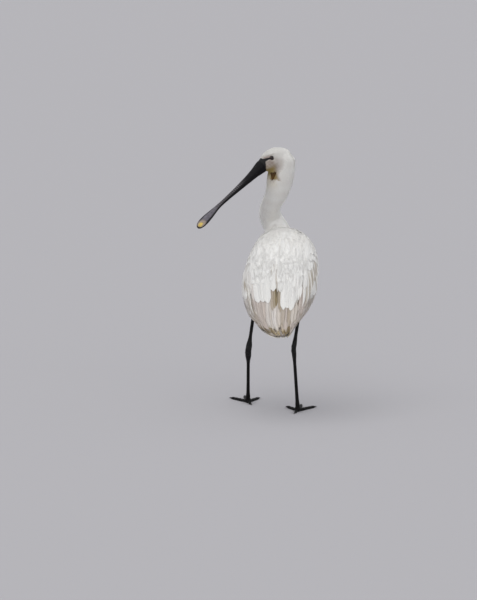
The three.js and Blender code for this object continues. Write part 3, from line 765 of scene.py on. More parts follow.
# ------------------------------------------------------------------ feathers
class Coat:
    """Gathers feathers of one build and turns them into meshes of closed, thin vanes.
    A plain vane ends in one point; a fringed one in a row of short barb tips."""

    LIMIT = 190000

    def __init__(self, name, strips, fringe=False):
        self.name = name
        self.strips = strips
        self.u = np.linspace(-1, 1, strips + 1)
        self.fringe = fringe
        self.batches = []

    def add(self, line, normal, half, camber, thick, col, stain, uv, ridge=0.0, swept=0.0, seed=0, t=None):
        """line and normal (n, K, 3) along each feather, half (n, K, 2) widths left and right in mm."""
        self.batches.append((line, normal, half, camber, thick, col, stain, uv, ridge, swept, seed, t))

    def template(self, K):
        """Faces of one feather: rings of top and bottom columns, then the tip or the fringe."""
        S = self.strips
        M = 2 * S
        bottom = lambda j: 2 * S - j if 0 < j < S else (0 if j == 0 else S)
        quads, tris = [], []
        for i in range(K - 2):
            for m in range(M):
                a0, a1 = i * M + m, i * M + (m + 1) % M
                quads.append((a0, a1, a1 + M, a0 + M))
        last, end = (K - 2) * M, (K - 1) * M
        if self.fringe:
            for j in range(S):
                tip = end + j
                tris.append((last + j, last + j + 1, tip))
                tris.append((last + bottom(j + 1), last + bottom(j), tip))
                if j > 0:
                    tris.append((last + bottom(j), last + j, tip))
                if j + 1 < S:
                    tris.append((last + j + 1, last + bottom(j + 1), tip))
        else:
            for m in range(M):
                tris.append((last + m, last + (m + 1) % M, end))
        root = [tuple(range(M))[::-1]]
        per = end + (S if self.fringe else 1)
        return np.array(quads), np.array(tris), np.array(root), per

    def build(self, material, replaces=()):
        S, made, pending, count = self.strips, [], [], 0
        for b in self.batches:
            K = b[0].shape[1]
            quads, tris, root, per = self.template(K)
            cost = len(quads) * 2 + len(tris) + 2 * S - 2
            i = 0
            while i < len(b[0]):
                n = min(len(b[0]) - i, (self.LIMIT - count) // cost)
                if n <= 0:
                    made.append(pending)
                    pending, count = [], 0
                    continue
                pending.append(tuple(x[i : i + n] if isinstance(x, np.ndarray) and x.ndim > 1 or (isinstance(x, np.ndarray) and x.shape[0] == len(b[0]) and j != 11) else x for j, x in enumerate(b)))
                count += n * cost
                i += n
        made.append(pending)
        out = []
        for i, batches in enumerate(made):
            name = self.name if len(made) == 1 else f"{self.name}_{i + 1}"
            o = self.mesh(name, batches, material)
            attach(o, "root")
            if replaces and i == 0:
                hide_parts(*replaces)
            out.append(o)
        return out

    def mesh(self, name, batches, material):
        S = self.strips
        V, loops, starts, totals, COL, ST, UV1, UV2 = [], [], [], [], [], [], [], []
        base, at = 0, 0
        for line, normal, half, camber, thick, col, stain, uv, ridge, swept, seed, t in batches:
            n, K = line.shape[:2]
            g = np.random.default_rng(seed + n)
            t = np.linspace(0, 1, K) if t is None else t
            quads, tris, root, per = self.template(K)
            tan = unit(np.gradient(line, axis=1))
            side = unit(np.cross(tan, normal))
            nor = unit(np.cross(side, tan))
            length = np.linalg.norm(np.diff(line, axis=1), axis=2).sum(1)
            sweep = (length[:, None] * swept * smooth(t, 0.1, 0.75)[None])[:, :, None]
            top, under = [], []
            for uj in self.u:
                w = half[:, :, 0] if uj < 0 else half[:, :, 1]
                lift = -camber[:, :, None] * (uj * uj) + ridge * np.exp(-((uj / 0.09) ** 2))
                p = line + side * (w * uj)[:, :, None] + nor * lift - tan * sweep * abs(uj) ** 1.6
                top.append(p)
                under.append(p - nor * (thick[:, :, None] * (1 - 0.5 * abs(uj))))
            P = np.stack(top + [under[j] for j in range(S - 1, 0, -1)], 2)
            M = P.shape[2]
            body = P[:, : K - 1].reshape(n, (K - 1) * M, 3)
            ring_u = np.r_[self.u, self.u[1:-1][::-1]]
            lx = np.tile(ring_u, K - 1)
            ly = np.repeat(t[:-1], M)
            if self.fringe:
                tips, tu, tv = [], [], []
                for j in range(S):
                    uc = (self.u[j] + self.u[j + 1]) / 2
                    base_p = (top[j][:, K - 2] + top[j + 1][:, K - 2]) / 2
                    run = (line[:, K - 1] - line[:, K - 2]) * ((1 - 0.72 * abs(uc) ** 1.8) * g.uniform(0.72, 1.15, n))[:, None]
                    w = np.where(uc < 0, half[:, K - 2, 0], half[:, K - 2, 1])
                    tips.append(base_p + run - side[:, K - 2] * (w * uc * 0.16 + g.normal(0, 0.10, n) * w / S * 2)[:, None] - nor[:, K - 2] * (thick[:, K - 2] * 0.4)[:, None])
                    tu.append(uc)
                    tv.append(1.0)
                verts = np.concatenate([body, np.stack(tips, 1)], 1)
                lx, ly = np.r_[lx, tu], np.r_[ly, tv]
            else:
                verts = np.concatenate([body, line[:, -1:]], 1)
                lx, ly = np.r_[lx, 0], np.r_[ly, 1]
            V.append(verts.reshape(-1, 3))
            offs = base + np.arange(n)[:, None, None] * per
            for f in (quads, tris, root):
                ff = (f[None] + offs).reshape(-1, f.shape[1])
                loops.append(ff.ravel())
                starts.append(at + np.arange(len(ff)) * f.shape[1])
                totals.append(np.full(len(ff), f.shape[1]))
                at += ff.size
            base += n * per
            UV1.append(np.stack(np.broadcast_arrays(lx[None] * 0.5 + 0.5, ly[None] + np.zeros((n, 1))), -1).reshape(-1, 2))
            patch = np.stack(np.broadcast_arrays(lx[None] * 0.0015, (ly[None] - 0.5) * 0.003 + np.zeros((n, 1))), -1)
            UV2.append((uv[:, None] + patch).reshape(-1, 2))
            tail = per - (K - 1) * M
            COL.append(np.concatenate([np.repeat(col[:, : K - 1], M, axis=1), np.repeat(col[:, -1:], tail, axis=1)], 1).reshape(-1, 3))
            ST.append(np.concatenate([np.repeat(stain[:, : K - 1], M, axis=1), np.repeat(stain[:, -1:], tail, axis=1)], 1).reshape(-1))
        V = row(np.vstack(V))
        loops, starts, totals = (np.concatenate(x).astype(np.int32) for x in (loops, starts, totals))
        me = bpy.data.meshes.new(name)
        me.vertices.add(len(V))
        me.vertices.foreach_set("co", V.ravel())
        me.loops.add(len(loops))
        me.loops.foreach_set("vertex_index", loops)
        me.polygons.add(len(starts))
        me.polygons.foreach_set("loop_start", starts)
        me.polygons.foreach_set("loop_total", totals)
        me.update(calc_edges=True)
        me.validate()
        me.shade_smooth()
        me.set_sharp_from_angle(angle=rad(48))
        COL, ST, UV1, UV2 = (np.concatenate(x) for x in (COL, ST, UV1, UV2))
        ca = me.attributes.new("Col", "FLOAT_COLOR", "POINT")
        ca.data.foreach_set("color", np.c_[np.clip(COL, 0, 1), np.ones(len(COL))].astype(np.float32).ravel())
        sa = me.attributes.new("stain", "FLOAT", "POINT")
        sa.data.foreach_set("value", ST.astype(np.float32))
        for layer_name, uvs in (("OFBake", UV2), ("vane", UV1)):
            layer = me.uv_layers.new(name=layer_name)
            layer.data.foreach_set("uv", uvs[loops].astype(np.float32).ravel())
        me.uv_layers["OFBake"].active_render = True
        me.uv_layers.active = me.uv_layers["OFBake"]
        me.materials.append(material)
        o = bpy.data.objects.new(name, me)
        bpy.context.scene.collection.objects.link(o)
        print(name, "feathers", sum(len(b[0]) for b in batches), "triangles", int((totals - 2).sum()))
        return o


# ------------------------------------------------------------------ materials
def material(name):
    m = bpy.data.materials.new(name)
    m.use_nodes = True
    nt = m.node_tree
    nt.nodes.clear()
    out = nt.nodes.new("ShaderNodeOutputMaterial")
    bsdf = nt.nodes.new("ShaderNodeBsdfPrincipled")
    nt.links.new(bsdf.outputs[0], out.inputs[0])
    return m, nt, bsdf


def node(nt, kind, **props):
    n = nt.nodes.new(kind)
    for k, v in props.items():
        setattr(n, k, v)
    return n


def mixer(nt, a, b, fac, mode="MIX"):
    n = nt.nodes.new("ShaderNodeMix")
    n.data_type, n.blend_type, n.clamp_result = "RGBA", mode, False
    for sock, val in ((n.inputs[0], fac), (n.inputs[6], a), (n.inputs[7], b)):
        if isinstance(val, bpy.types.NodeSocket):
            nt.links.new(val, sock)
        elif isinstance(val, (int, float)):
            sock.default_value = val
        else:
            sock.default_value = (*val, 1)
    return n.outputs[2]


def math_node(nt, op, a, b=None, c=None, clamp=False):
    n = nt.nodes.new("ShaderNodeMath")
    n.operation, n.use_clamp = op, clamp
    for sock, val in zip(n.inputs, (a, b, c)):
        if val is None:
            continue
        if isinstance(val, bpy.types.NodeSocket):
            nt.links.new(val, sock)
        else:
            sock.default_value = val
    return n.outputs[0]


def plumage_material(name, barb=60.0, streak=True, rough=0.72):
    m, nt, bsdf = material(name)
    col = node(nt, "ShaderNodeAttribute", attribute_name="Col")
    stain = node(nt, "ShaderNodeAttribute", attribute_name="stain")
    uv = node(nt, "ShaderNodeUVMap", uv_map="vane")
    sep = node(nt, "ShaderNodeSeparateXYZ")
    nt.links.new(uv.outputs[0], sep.inputs[0])
    x = math_node(nt, "SUBTRACT", sep.outputs[0], 0.5)
    ax = math_node(nt, "ABSOLUTE", x)
    y = sep.outputs[1]
    # barbs slant from the shaft towards the tip
    phase = math_node(nt, "SUBTRACT", math_node(nt, "MULTIPLY", y, barb), math_node(nt, "MULTIPLY", ax, barb * 0.55))
    geo = node(nt, "ShaderNodeNewGeometry")
    wob = node(nt, "ShaderNodeTexNoise")
    wob.inputs["Scale"].default_value = 260
    nt.links.new(geo.outputs["Position"], wob.inputs["Vector"])
    phase = math_node(nt, "ADD", phase, math_node(nt, "MULTIPLY", wob.outputs[0], 2.4))
    wave = math_node(nt, "SINE", math_node(nt, "MULTIPLY", phase, 6.2832))
    shaft = math_node(nt, "SUBTRACT", 1.0, math_node(nt, "MULTIPLY", ax, 26.0), clamp=True)
    # colour: a faint shade between barbs, a paler shaft, streaks of stain that run with the feather
    base = mixer(nt, col.outputs[0], (0.90, 0.89, 0.88), math_node(nt, "MULTIPLY", math_node(nt, "ADD", wave, 1.0), 0.12), "MULTIPLY")
    if streak:
        coord = node(nt, "ShaderNodeCombineXYZ")
        nt.links.new(math_node(nt, "MULTIPLY", x, 7.0), coord.inputs[0])
        nt.links.new(math_node(nt, "MULTIPLY", y, 1.1), coord.inputs[1])
        pos = node(nt, "ShaderNodeSeparateXYZ")
        nt.links.new(geo.outputs["Position"], pos.inputs[0])
        nt.links.new(math_node(nt, "MULTIPLY", pos.outputs[0], 30.0), coord.inputs[2])
        ns = node(nt, "ShaderNodeTexNoise")
        ns.inputs["Scale"].default_value = 1.0
        ns.inputs["Detail"].default_value = 4
        nt.links.new(coord.outputs[0], ns.inputs["Vector"])
        amount = math_node(nt, "MULTIPLY", math_node(nt, "SUBTRACT", math_node(nt, "MULTIPLY", ns.outputs[0], 3.2), 1.25, clamp=True), stain.outputs["Fac"])
        edge = math_node(nt, "MULTIPLY", math_node(nt, "MULTIPLY", math_node(nt, "SUBTRACT", ax, 0.33, clamp=True), 4.0), stain.outputs["Fac"], clamp=True)
        base = mixer(nt, base, tuple(BROWN), math_node(nt, "MULTIPLY", amount, 0.45))
        base = mixer(nt, base, tuple(BROWN * 0.8), math_node(nt, "MULTIPLY", edge, 0.55))
    base = mixer(nt, base, (0.92, 0.90, 0.84), math_node(nt, "MULTIPLY", shaft, 0.25))
    nt.links.new(base, bsdf.inputs["Base Color"])
    bsdf.inputs["Roughness"].default_value = rough
    bsdf.inputs["Sheen Weight"].default_value = 0.12
    bsdf.inputs["Sheen Roughness"].default_value = 0.5
    bsdf.inputs["Specular IOR Level"].default_value = 0.25
    bsdf.inputs["Subsurface Weight"].default_value = 0.35
    bsdf.inputs["Subsurface Radius"].default_value = (1.0, 0.95, 0.88)
    bsdf.inputs["Subsurface Scale"].default_value = 0.0022
    bump = node(nt, "ShaderNodeBump")
    bump.inputs["Strength"].default_value = 0.25
    bump.inputs["Distance"].default_value = 0.0006
    nt.links.new(math_node(nt, "ADD", wave, math_node(nt, "MULTIPLY", shaft, 2.0)), bump.inputs["Height"])
    nt.links.new(bump.outputs[0], bsdf.inputs["Normal"])
    return m


FINE = plumage_material("fine_plumage", barb=9.0, streak=False)
CONTOUR = plumage_material("contour_plumage", barb=26.0)
LONG = plumage_material("long_feathers", barb=90.0)

# ------------------------------------------------------------------ scatter the coat over the skin
def triangles(faces):
    out = []
    for f in faces:
        out.append((f[0], f[1], f[2]))
        if len(f) == 4:
            out.append((f[0], f[2], f[3]))
    return np.array(out)


T = triangles(body_f)


def scatter(keep, space_of, scale=1.0):
    """Even random roots on the skin, nearer to each other where the feathers are smaller."""
    tri = body_v[T]
    area = np.linalg.norm(np.cross(tri[:, 1] - tri[:, 0], tri[:, 2] - tri[:, 0]), axis=1) / 2
    space = space_of[T].mean(1) * scale
    want = area / space**2 * 4.0
    want = want * keep[T].mean(1)
    n = RNG.poisson(want)
    t = np.repeat(np.arange(len(T)), n)
    a, b = RNG.random(len(t)), RNG.random(len(t))
    flip = a + b > 1
    a[flip], b[flip] = 1 - a[flip], 1 - b[flip]
    w = np.stack([1 - a - b, a, b], 1)
    p = (body_v[T[t]] * w[:, :, None]).sum(1)
    sp = (space_of[T[t]] * w).sum(1) * scale
    order = RNG.permutation(len(p))
    # thin them out on one grid, each root searching only as far as its own spacing, so that the search stays short
    r2s = (sp * 0.80) ** 2
    cell = float(sp.max()) * 0.81
    fine = max(float(sp.min()) * 0.81, cell / 6)
    reach = sp * 0.80
    grid, chosen = {}, []
    keys = np.floor(p / fine).astype(int)
    P, R2, RE = p.tolist(), r2s.tolist(), np.ceil(reach / fine).astype(int).tolist()
    KEYS = keys.tolist()
    for i in order.tolist():
        x, y, z = KEYS[i]
        m = RE[i]
        pi, r2 = P[i], R2[i]
        ok = True
        for dx in range(-m, m + 1):
            for dy in range(-m, m + 1):
                for dz in range(-m, m + 1):
                    hit = grid.get((x + dx, y + dy, z + dz))
                    if hit:
                        for q in hit:
                            if (q[0] - pi[0]) ** 2 + (q[1] - pi[1]) ** 2 + (q[2] - pi[2]) ** 2 < r2:
                                ok = False
                                break
                    if not ok:
                        break
                if not ok:
                    break
            if not ok:
                break
        if ok:
            grid.setdefault((x, y, z), []).append(pi)
            chosen.append(i)
    c = np.array(chosen, int)
    return p[c], T[t[c]], w[c]


def lay(p, tri, w, t, length, seed, turn=6.0):
    """Lead each feather from its root along the lie of the coat, on the skin."""
    g = np.random.default_rng(seed)
    n = len(p)
    flow = unit((FLOW[tri] * w[:, :, None]).sum(1))
    nor = unit((N[tri] * w[:, :, None]).sum(1))
    ang = np.radians(g.normal(0, turn, n))
    side = np.cross(nor, flow)
    flow = unit(flow * np.cos(ang)[:, None] + side * np.sin(ang)[:, None])
    pts, nors = [p], [nor]
    cur, way = p.copy(), flow
    for k in range(1, len(t)):
        nxt = cur + way * (length * (t[k] - t[k - 1]))[:, None]
        q, nn, fi = np.empty_like(nxt), np.empty_like(nxt), np.empty(n, int)
        for i, v in enumerate(nxt.tolist()):
            loc, no, ix, _ = BVH.find_nearest(v)
            q[i], nn[i], fi[i] = loc, no, ix
        vi = FIRST[fi]
        way = unit(way * 0.6 + FLOW[vi] * 0.4)
        way = unit(way - nn * dot(way, nn)[:, None])
        cur = q
        pts.append(q)
        nors.append(unit(0.35 * nn + 0.65 * N[vi]))
    return np.stack(pts, 1), np.stack(nors, 1)


FIRST = np.array([f[0] for f in body_f])


def dress(coat, keep, look, seed, t, shape, scale=1.0, turn=6.0, tone_var=0.02, ragged=0.06, root=0.15, step=0.0, swept=0.0, ridge=0.0, camber=0.16, depth=1.0, over=0.0, pale=1.0, thin=0.14):
    """Cover the kept part of the skin with feathers: look gives spacing, length, half width and height."""
    g = np.random.default_rng(seed)
    p, tri, w = scatter(keep, look[:, 0], scale)
    n = len(p)
    if not n:
        return
    L = (look[tri] * w[:, :, None]).sum(1)
    length = L[:, 1] * g.uniform(0.86, 1.12, n)
    line, nor = lay(p, tri, w, t, length, seed + 1, turn=turn)
    # the roots lie low; from there each feather climbs evenly, so that its tip rests on the next ones
    rise = root + (1 - root - step) * smooth(t, 0.0, 0.62) + step * t
    h = (L[:, 3] * depth)[:, None] * rise[None] + g.normal(0, 0.03, n)[:, None] * L[:, 3][:, None] * t + over
    line = line + nor * h[:, :, None]
    roll = g.normal(0, 0.06, n)
    tan = unit(np.gradient(line, axis=1))
    side = np.cross(tan, nor)
    nor = unit(nor + side * np.tan(roll)[:, None, None])
    half = L[:, 2][:, None, None] * shape(t)[None, :, None] * (1 + g.normal(0, ragged, (n, len(t), 2)))
    cam = half.mean(2) * camber
    thick = np.minimum(0.42, half.mean(2) * thin) + 0.04
    cc = classify(p)
    col, stain = marking(p, cc)
    tone = 1 + g.normal(0, tone_var, n)
    uv = chart(p, cc)
    # painted shade: each feather darker towards its root, where it lies under the others
    root_shade = 0.90 + 0.10 * smooth(t, 0.1, 0.6)
    col3 = col[:, None] * root_shade[None, :, None] * tone[:, None, None] * pale
    st = np.repeat(stain[:, None], len(t), 1) * (0.3 + 0.7 * smooth(t, 0.2, 0.8))[None]
    coat.add(line, nor, half, cam, thick, col3, st, uv, ridge=ridge, swept=swept, seed=seed, t=t)


ROUND = Profile((0, 0.30), (0.25, 0.72), (0.5, 0.95), (0.7, 1.0), (0.84, 0.94), (0.93, 0.74), (1, 0.5))
HAIRY = Profile((0, 0.45), (0.25, 0.9), (0.5, 1.0), (0.72, 0.8), (0.88, 0.45), (1, 0.0))
T_ROUND = np.array([0, 0.28, 0.54, 0.76, 0.91, 1.0])
T_LEAF = np.array([0, 0.3, 0.6, 0.85, 1.0])
T_SLIVER = np.array([0, 0.35, 0.7, 1.0])

feathered = (BARE == 0).astype(float)
# no feathers over the eyes, nor inside the bill's base
for sgn in (1, -1):
    feathered *= np.linalg.norm(body_v - EYES[sgn][1], axis=1) > 6.15
feathered *= ~((C["head"] > 0.5) & (C["f"] > 36.5))
is_head = C["head"] > 0.45
is_neck = (~is_head) & (C["neck"] > 0.3)
sin_a = np.sin(C["a"])
is_thigh = C["thigh"] > 0.5
# the long feathers of the wing and tail cover the bird behind this line
a_deg = np.degrees(np.arcsin(np.clip(sin_a, -1, 1)))
start_wing = 64 + 84 * np.clip((a_deg + 36) / 98, 0, 1)
start_long = np.where(a_deg > -46 + 22 * smooth(C["s"], 190, 235), start_wing + (226 - start_wing) * smooth(a_deg, 34, 60), 380.0)
long_zone = (C["s"] > start_long) & (~is_thigh) & (~is_neck) & (~is_head)
end_zone = C["s"] > 380

head_look = LOOK.copy()
head_coat = Coat("coat_head", 2)
neck_coat = Coat("coat_neck", 2)
body_coat = Coat("coat_body", 6, fringe=True)
down_coat = Coat("coat_loose", 2)
print("head")
dress(head_coat, feathered * is_head, LOOK, 11, T_LEAF, HAIRY, scale=1.0, turn=6, tone_var=0.02, ragged=0.08, root=0.25, step=0.25, camber=0.34, thin=0.08, pale=1.05)
print("neck")
# painted light: the neck's feathers, and those over the fork, get a paler white than the body's, to light the neck
# that faces down and back
dress(neck_coat, feathered * is_neck, LOOK, 21, T_LEAF, HAIRY, scale=1.0, turn=5, tone_var=0.018, root=0.3, step=0.25, camber=0.30, thin=0.07, pale=1.14)
fork = feathered * (C["k"] < 0.34) * (C["k"] > 0.02) * (np.abs(C["s"]) < 60) * (sin_a > 0.2) * (C["neck"] > 0.05) * (C["neck"] < 0.97)
dress(neck_coat, fork, LOOK, 27, T_LEAF, HAIRY, scale=1.25, turn=14, tone_var=0.018, root=0.2, step=0.2, camber=0.3, thin=0.07, pale=1.10, over=0.35)
print("body")
on_body = feathered * (~is_head) * (~is_neck) * (~long_zone) * (~end_zone)
dress(body_coat, on_body * (~is_thigh), LOOK, 31, T_ROUND, ROUND, scale=1.0, turn=4, tone_var=0.012, ragged=0.05, root=0.12, step=0.36, swept=0.12, ridge=0.04, camber=0.10, pale=1.07)
loose = LOOK.copy()
loose[:, 0] = np.where(is_thigh, LOOK[:, 0], 5.2)
loose[:, 1] = np.where(is_thigh, LOOK[:, 1], LOOK[:, 1] * 0.62)
loose[:, 2] = np.where(is_thigh, LOOK[:, 2], 1.15)
dress(down_coat, on_body * (~is_thigh), loose, 41, T_LEAF, HAIRY, scale=1.0, turn=9, tone_var=0.02, root=0.30, step=0.42, over=0.28, pale=1.07)
dress(down_coat, on_body * is_thigh, LOOK, 43, T_LEAF, HAIRY, scale=1.0, turn=9, tone_var=0.03, root=0.2, step=0.3)

# ------------------------------------------------------------------ long feathers, laid one by one
BLUNT = Profile((0, 0.22), (0.1, 0.55), (0.3, 0.88), (0.6, 1.0), (0.85, 0.97), (0.94, 0.80), (0.985, 0.48), (1, 0.3))
SQUARE = Profile((0, 0.25), (0.1, 0.6), (0.3, 0.9), (0.6, 1.0), (0.93, 1.0), (0.97, 0.92), (1, 0.7))
POINTED = Profile((0, 0.25), (0.1, 0.5), (0.35, 0.9), (0.6, 1.0), (0.8, 0.86), (0.92, 0.55), (0.985, 0.25), (1, 0.15))
T_LONG = np.array([0, 0.1, 0.2, 0.31, 0.42, 0.53, 0.64, 0.74, 0.83, 0.90, 0.95, 0.982, 1.0])

# stations of the body as seen from behind and a little above, for laying feathers:
# across and up are counted in steps of 2.26 mm from the ridge between the shoulders
_s, _a = np.meshgrid(np.arange(2, 416, 2.0), np.radians(np.arange(-70, 251, 1.0)), indexing="ij")
_s, _a = _s.ravel(), _a.ravel()
_p, _n = body_surface(_s, _a), body_normal(_s, _a)
_see = _n @ A(0, -0.9877, 0.1564) > 0.05
_s, _a, _p = _s[_see], _a[_see], _p[_see]
_px, _py = _p[:, 0] / 2.26 + 280, 411.5 - (0.9877 * _p[:, 2] + 0.1564 * _p[:, 1]) / 2.26


def spot(x, y):
    """Station and angle of the body at a place counted across and down the view from behind."""
    d = (_px - x) ** 2 + (_py - y) ** 2
    near = np.argsort(d)[:6]
    w = 1 / (d[near] + 0.02)
    return float((_s[near] * w).sum() / w.sum()), float(np.degrees((_a[near] * w).sum() / w.sum()))


long_coat = Coat("coat_long", 8, fringe=True)
G = np.random.default_rng(5)
SEED = [100]


def long_feather(s0, a0, s1, a1, half, h0, h1, col, shape=BLUNT, dip=0.3, ridge=0.28, stain=0.0, bow=0.0, camber=0.13, tip=None, tip_from=0.85, ragged=0.025, edge=0.0, root_white=0.0, swept=0.055):
    """One feather from station s0, angle a0 to s1, a1 of the body's form; h is its height over that form."""
    SEED[0] += 1
    g = np.random.default_rng(SEED[0])
    t = T_LONG
    s = s0 + (s1 - s0) * t
    a = np.radians(a0 + (a1 - a0) * t + bow * np.sin(np.pi * t))
    sc = np.clip(s, 4, 411)
    p = body_surface(sc, a) + AXIS * (s - sc)[:, None]
    n = body_normal(sc, a)
    h = h0 + (h1 - h0) * smooth(t, 0, 0.9) - dip * smooth(t, 0.84, 1.0)
    line = (p + n * h[:, None])[None]
    # the outer web of a flight feather is the narrower one
    w = half * shape(t)
    wobble = lambda: 1 + g.normal(0, ragged, len(t)) * smooth(t, 0.2, 0.6)
    hw = np.stack([w * wobble() * (1 - edge), w * wobble() * (1 + edge)], -1)[None]
    c = np.broadcast_to(np.asarray(col, float), (len(t), 3)) * (1 + 0.03 * g.normal())
    if root_white:
        c = mix(c, WHITE, (1 - smooth(t, root_white, root_white + 0.35)))
    if tip is not None:
        c = mix(c, tip, smooth(t, tip_from, min(tip_from + 0.10, 0.99)) * 0.92)
    st = np.full(len(t), float(stain)) * smooth(t, 0.1, 0.5)
    cc = classify(line[0][:1])
    long_coat.add(line, n[None], hw, w[None] * camber, np.full((1, len(t)), 0.5), c[None], st[None], chart(line[0][:1], cc), ridge=ridge, swept=swept, seed=SEED[0], t=t)


def by_eye(x0, y0, x1, y1, half, h0, h1, col, **more):
    s0, a0 = spot(x0, y0)
    s1, a1 = spot(x1, y1)
    long_feather(s0, a0, s1, a1, half, h0, h1, col, **more)


# under-tail coverts, soft and white
for row_s, n in ((406, 4), (398, 5), (388, 6)):
    for i in range(n):
        w = (i - (n - 1) / 2) / (n - 1)
        long_feather(row_s - 56, -90 + 104 * w, row_s + G.normal(0, 1.5), -90 + 92 * w, 7.0, -1.4, 0.4 - 0.012 * (row_s - 386), mix(WHITE, PINK, 0.15) * G.uniform(0.96, 1.0), stain=0.3, camber=0.08, ridge=0.1, ragged=0.04)
# tail: twelve feathers in a flat fan between the wing tips and the under-tail coverts
for i in range(12):
    e = (i - 5.5) / 5.5
    t = T_LONG
    s = 296 + (106 - 6 * abs(e)) * t + G.normal(0, 1.5)
    x = e * (9 + 13 * t)
    d = -2.2 - 1.2 * abs(e) - 1.0 * (1 - t)
    line = in_body(x, s, d)[None]
    w = 9.5 * BLUNT(t)
    nn = np.broadcast_to(RISE, (len(t), 3))[None]
    col = mix(mix(np.broadcast_to(WHITE * 0.92, (len(t), 3)), BEIGE, smooth(t, 0.55, 0.9) * 0.7), OLIVE, smooth(t, 0.9, 0.99) * 0.7)
    cc = classify(line[0][:1])
    long_coat.add(line, nn, np.stack([w, w], -1)[None], w[None] * 0.08, np.full((1, len(t)), 0.5), col[None], (0.8 * smooth(t, 0.4, 0.9))[None], chart(line[0][:1], cc), ridge=0.28, swept=0.05, seed=700 + i, t=t)

for side, sg in (("right", 1), ("left", -1)):
    ang = lambda a: a if sg > 0 else 180 - a
    # primaries: the longest, worn tips side by side at the very end, under all the others
    for i in range(9):
        e = i / 8
        long_feather(238 + 5 * e, ang(-30 + 40 * e), 378 + 30 * e + G.normal(0, 2.0), ang(-34 + 92 * e), 8.2, -7.0 + 0.42 * i, -5.2 + 0.30 * i, mix(PINK, BEIGE, G.random()) * G.uniform(0.9, 1.05), shape=POINTED, stain=0.9, tip=OLIVE * G.uniform(0.75, 1.3), tip_from=0.86, ragged=0.05, edge=0.18 * sg, root_white=0.1)
    # secondaries: along the wing's lower edge, stained and streaked
    for i in range(15):
        e = i / 14
        long_feather(128 + 92 * e, ang(-40 + 46 * e), 226 + 142 * e + G.normal(0, 2.0), ang(-50 + 70 * e), 8.8, -4.6 + 0.12 * i, -3.1 + 0.12 * i, mix(mix(PINK, BEIGE, G.random()), (WHITE, mix(OLIVE, BEIGE, 0.6))[G.integers(0, 2)], 0.15 + 0.35 * G.random()) * G.uniform(0.93, 1.05), stain=0.85, edge=0.15 * sg, root_white=0.35, ragged=0.035)
    # greater coverts: over the roots of the secondaries
    for i in range(17):
        e = i / 16
        long_feather(104 + 100 * e, ang(-42 + 62 * e), 168 + 112 * e + G.normal(0, 2.4), ang(-50 + 72 * e), 8.2, -2.9 + 0.06 * i, -1.7 + 0.07 * i, mix(WHITE, PINK, 0.25 * G.random() * (1 - 0.6 * e)) * G.uniform(0.97, 1.02), stain=0.22 * (1 - e), edge=0.1 * sg)
    # median coverts, and two rows of smaller ones towards the bend of the wing
    for rows, (n, s0, s1, a0, a1, length, half, h) in enumerate(((17, 84, 190, -42, 66, 46, 7.4, -1.2), (17, 66, 160, -40, 66, 38, 6.8, -0.85), (16, 50, 132, -36, 62, 32, 6.2, -0.5))):
        for i in range(n):
            e = (i + G.normal(0, 0.12)) / (n - 1)
            long_feather(s0 + (s1 - s0) * e + G.normal(0, 1.6), ang(a0 + (a1 - a0) * e), s0 + (s1 - s0) * e + length + G.normal(0, 2.2), ang(a0 + (a1 - a0) * e - 7 + 5 * e), half * G.uniform(0.92, 1.08), h - 1.6, h, WHITE * G.uniform(0.99, 1.04), camber=0.12)

# the rear of the folded wings, as it shows from behind: (root across, down, tip across, down)
PINK, BEIGE, OLIVE = PINK * 0.97, BEIGE * 0.97, OLIVE * 0.95
PALE = mix(PINK, WHITE, 0.42)
streak = lambda: (BEIGE, PINK, PALE, mix(PALE, WHITE, 0.5), mix(BEIGE, OLIVE, 0.45), PALE)[G.integers(0, 6)] * G.uniform(0.94, 1.07)
# worn primary tips
for x0, y0, x1, y1 in ((254, 290, 261, 326.0), (257, 293, 264.2, 330.8), (259, 295, 266.6, 329.8), (261, 295, 268.8, 332.8), (264, 297, 271.5, 332.2), (268, 299, 274.6, 335.0), (272, 299, 277.5, 333.6), (276, 299, 280.0, 335.6), (286, 299, 283, 334.2), (290, 297, 285.8, 336.6), (294, 295, 288.8, 334.2), (298, 292, 292.2, 330.5), (301, 289, 296, 325.5)):
    by_eye(x0, y0, x1, y1 - 0.8 + G.normal(0, 1.5), 5.4 * G.uniform(0.7, 1.1), -3.6, -2.0 + G.normal(0, 0.3), mix(streak(), PINK, 0.4), shape=POINTED, stain=1.0, tip=OLIVE * G.uniform(0.7, 1.4), tip_from=0.78 + 0.06 * G.random(), ragged=0.08)
for x0, y0, x1, y1 in ((266, 312, 266.8, 331.4), (283, 316, 284.6, 335.8), (288, 314, 287.4, 333.4), (273, 314, 273.4, 333.4)):
    by_eye(x0, y0, x1, y1, 2.6, -2.2, -1.2, mix(OLIVE, A(0.09, 0.055, 0.03), 0.5), shape=POINTED, ragged=0.1, root_white=0.0)
# secondaries down both margins
for x0, y0, x1, y1 in ((246, 258, 243.6, 297), (246.5, 262, 244.8, 303), (248, 266, 246.8, 308.5), (250, 270, 249.6, 313.5), (252, 274, 252.8, 318.5), (254, 278, 256.4, 322.5), (257, 281, 259.5, 325), (314, 256, 316.2, 292), (313.5, 261, 314.6, 298.5), (312, 266, 312.2, 304.5), (310, 270, 309, 310), (307, 274, 305.3, 315.5), (304, 278, 301.6, 319.8), (301, 282, 298.4, 323)):
    by_eye(x0, y0, x1, y1 + G.normal(0, 0.4), 6.0, -6.0, -1.5, streak(), stain=0.95, root_white=0.25, edge=0.1)
for x0, y0, x1, y1 in ((247.5, 248, 243.6, 281), (249.5, 248, 246.2, 284), (251, 250, 248.6, 287), (252.6, 250, 251.0, 289), (312.5, 246, 316.6, 277), (311, 248, 314.8, 281)):
    dull = 0.25 if x0 < 280 else 0.75
    by_eye(x0, y0, x1, y1 + G.normal(0, 0.8), 6.4, -3.6, -0.6, mix(WHITE, mix(PINK, OLIVE, 0.5 * (x0 > 280)), dull) * G.uniform(0.95, 1.0), stain=dull, root_white=0.3, camber=0.08)
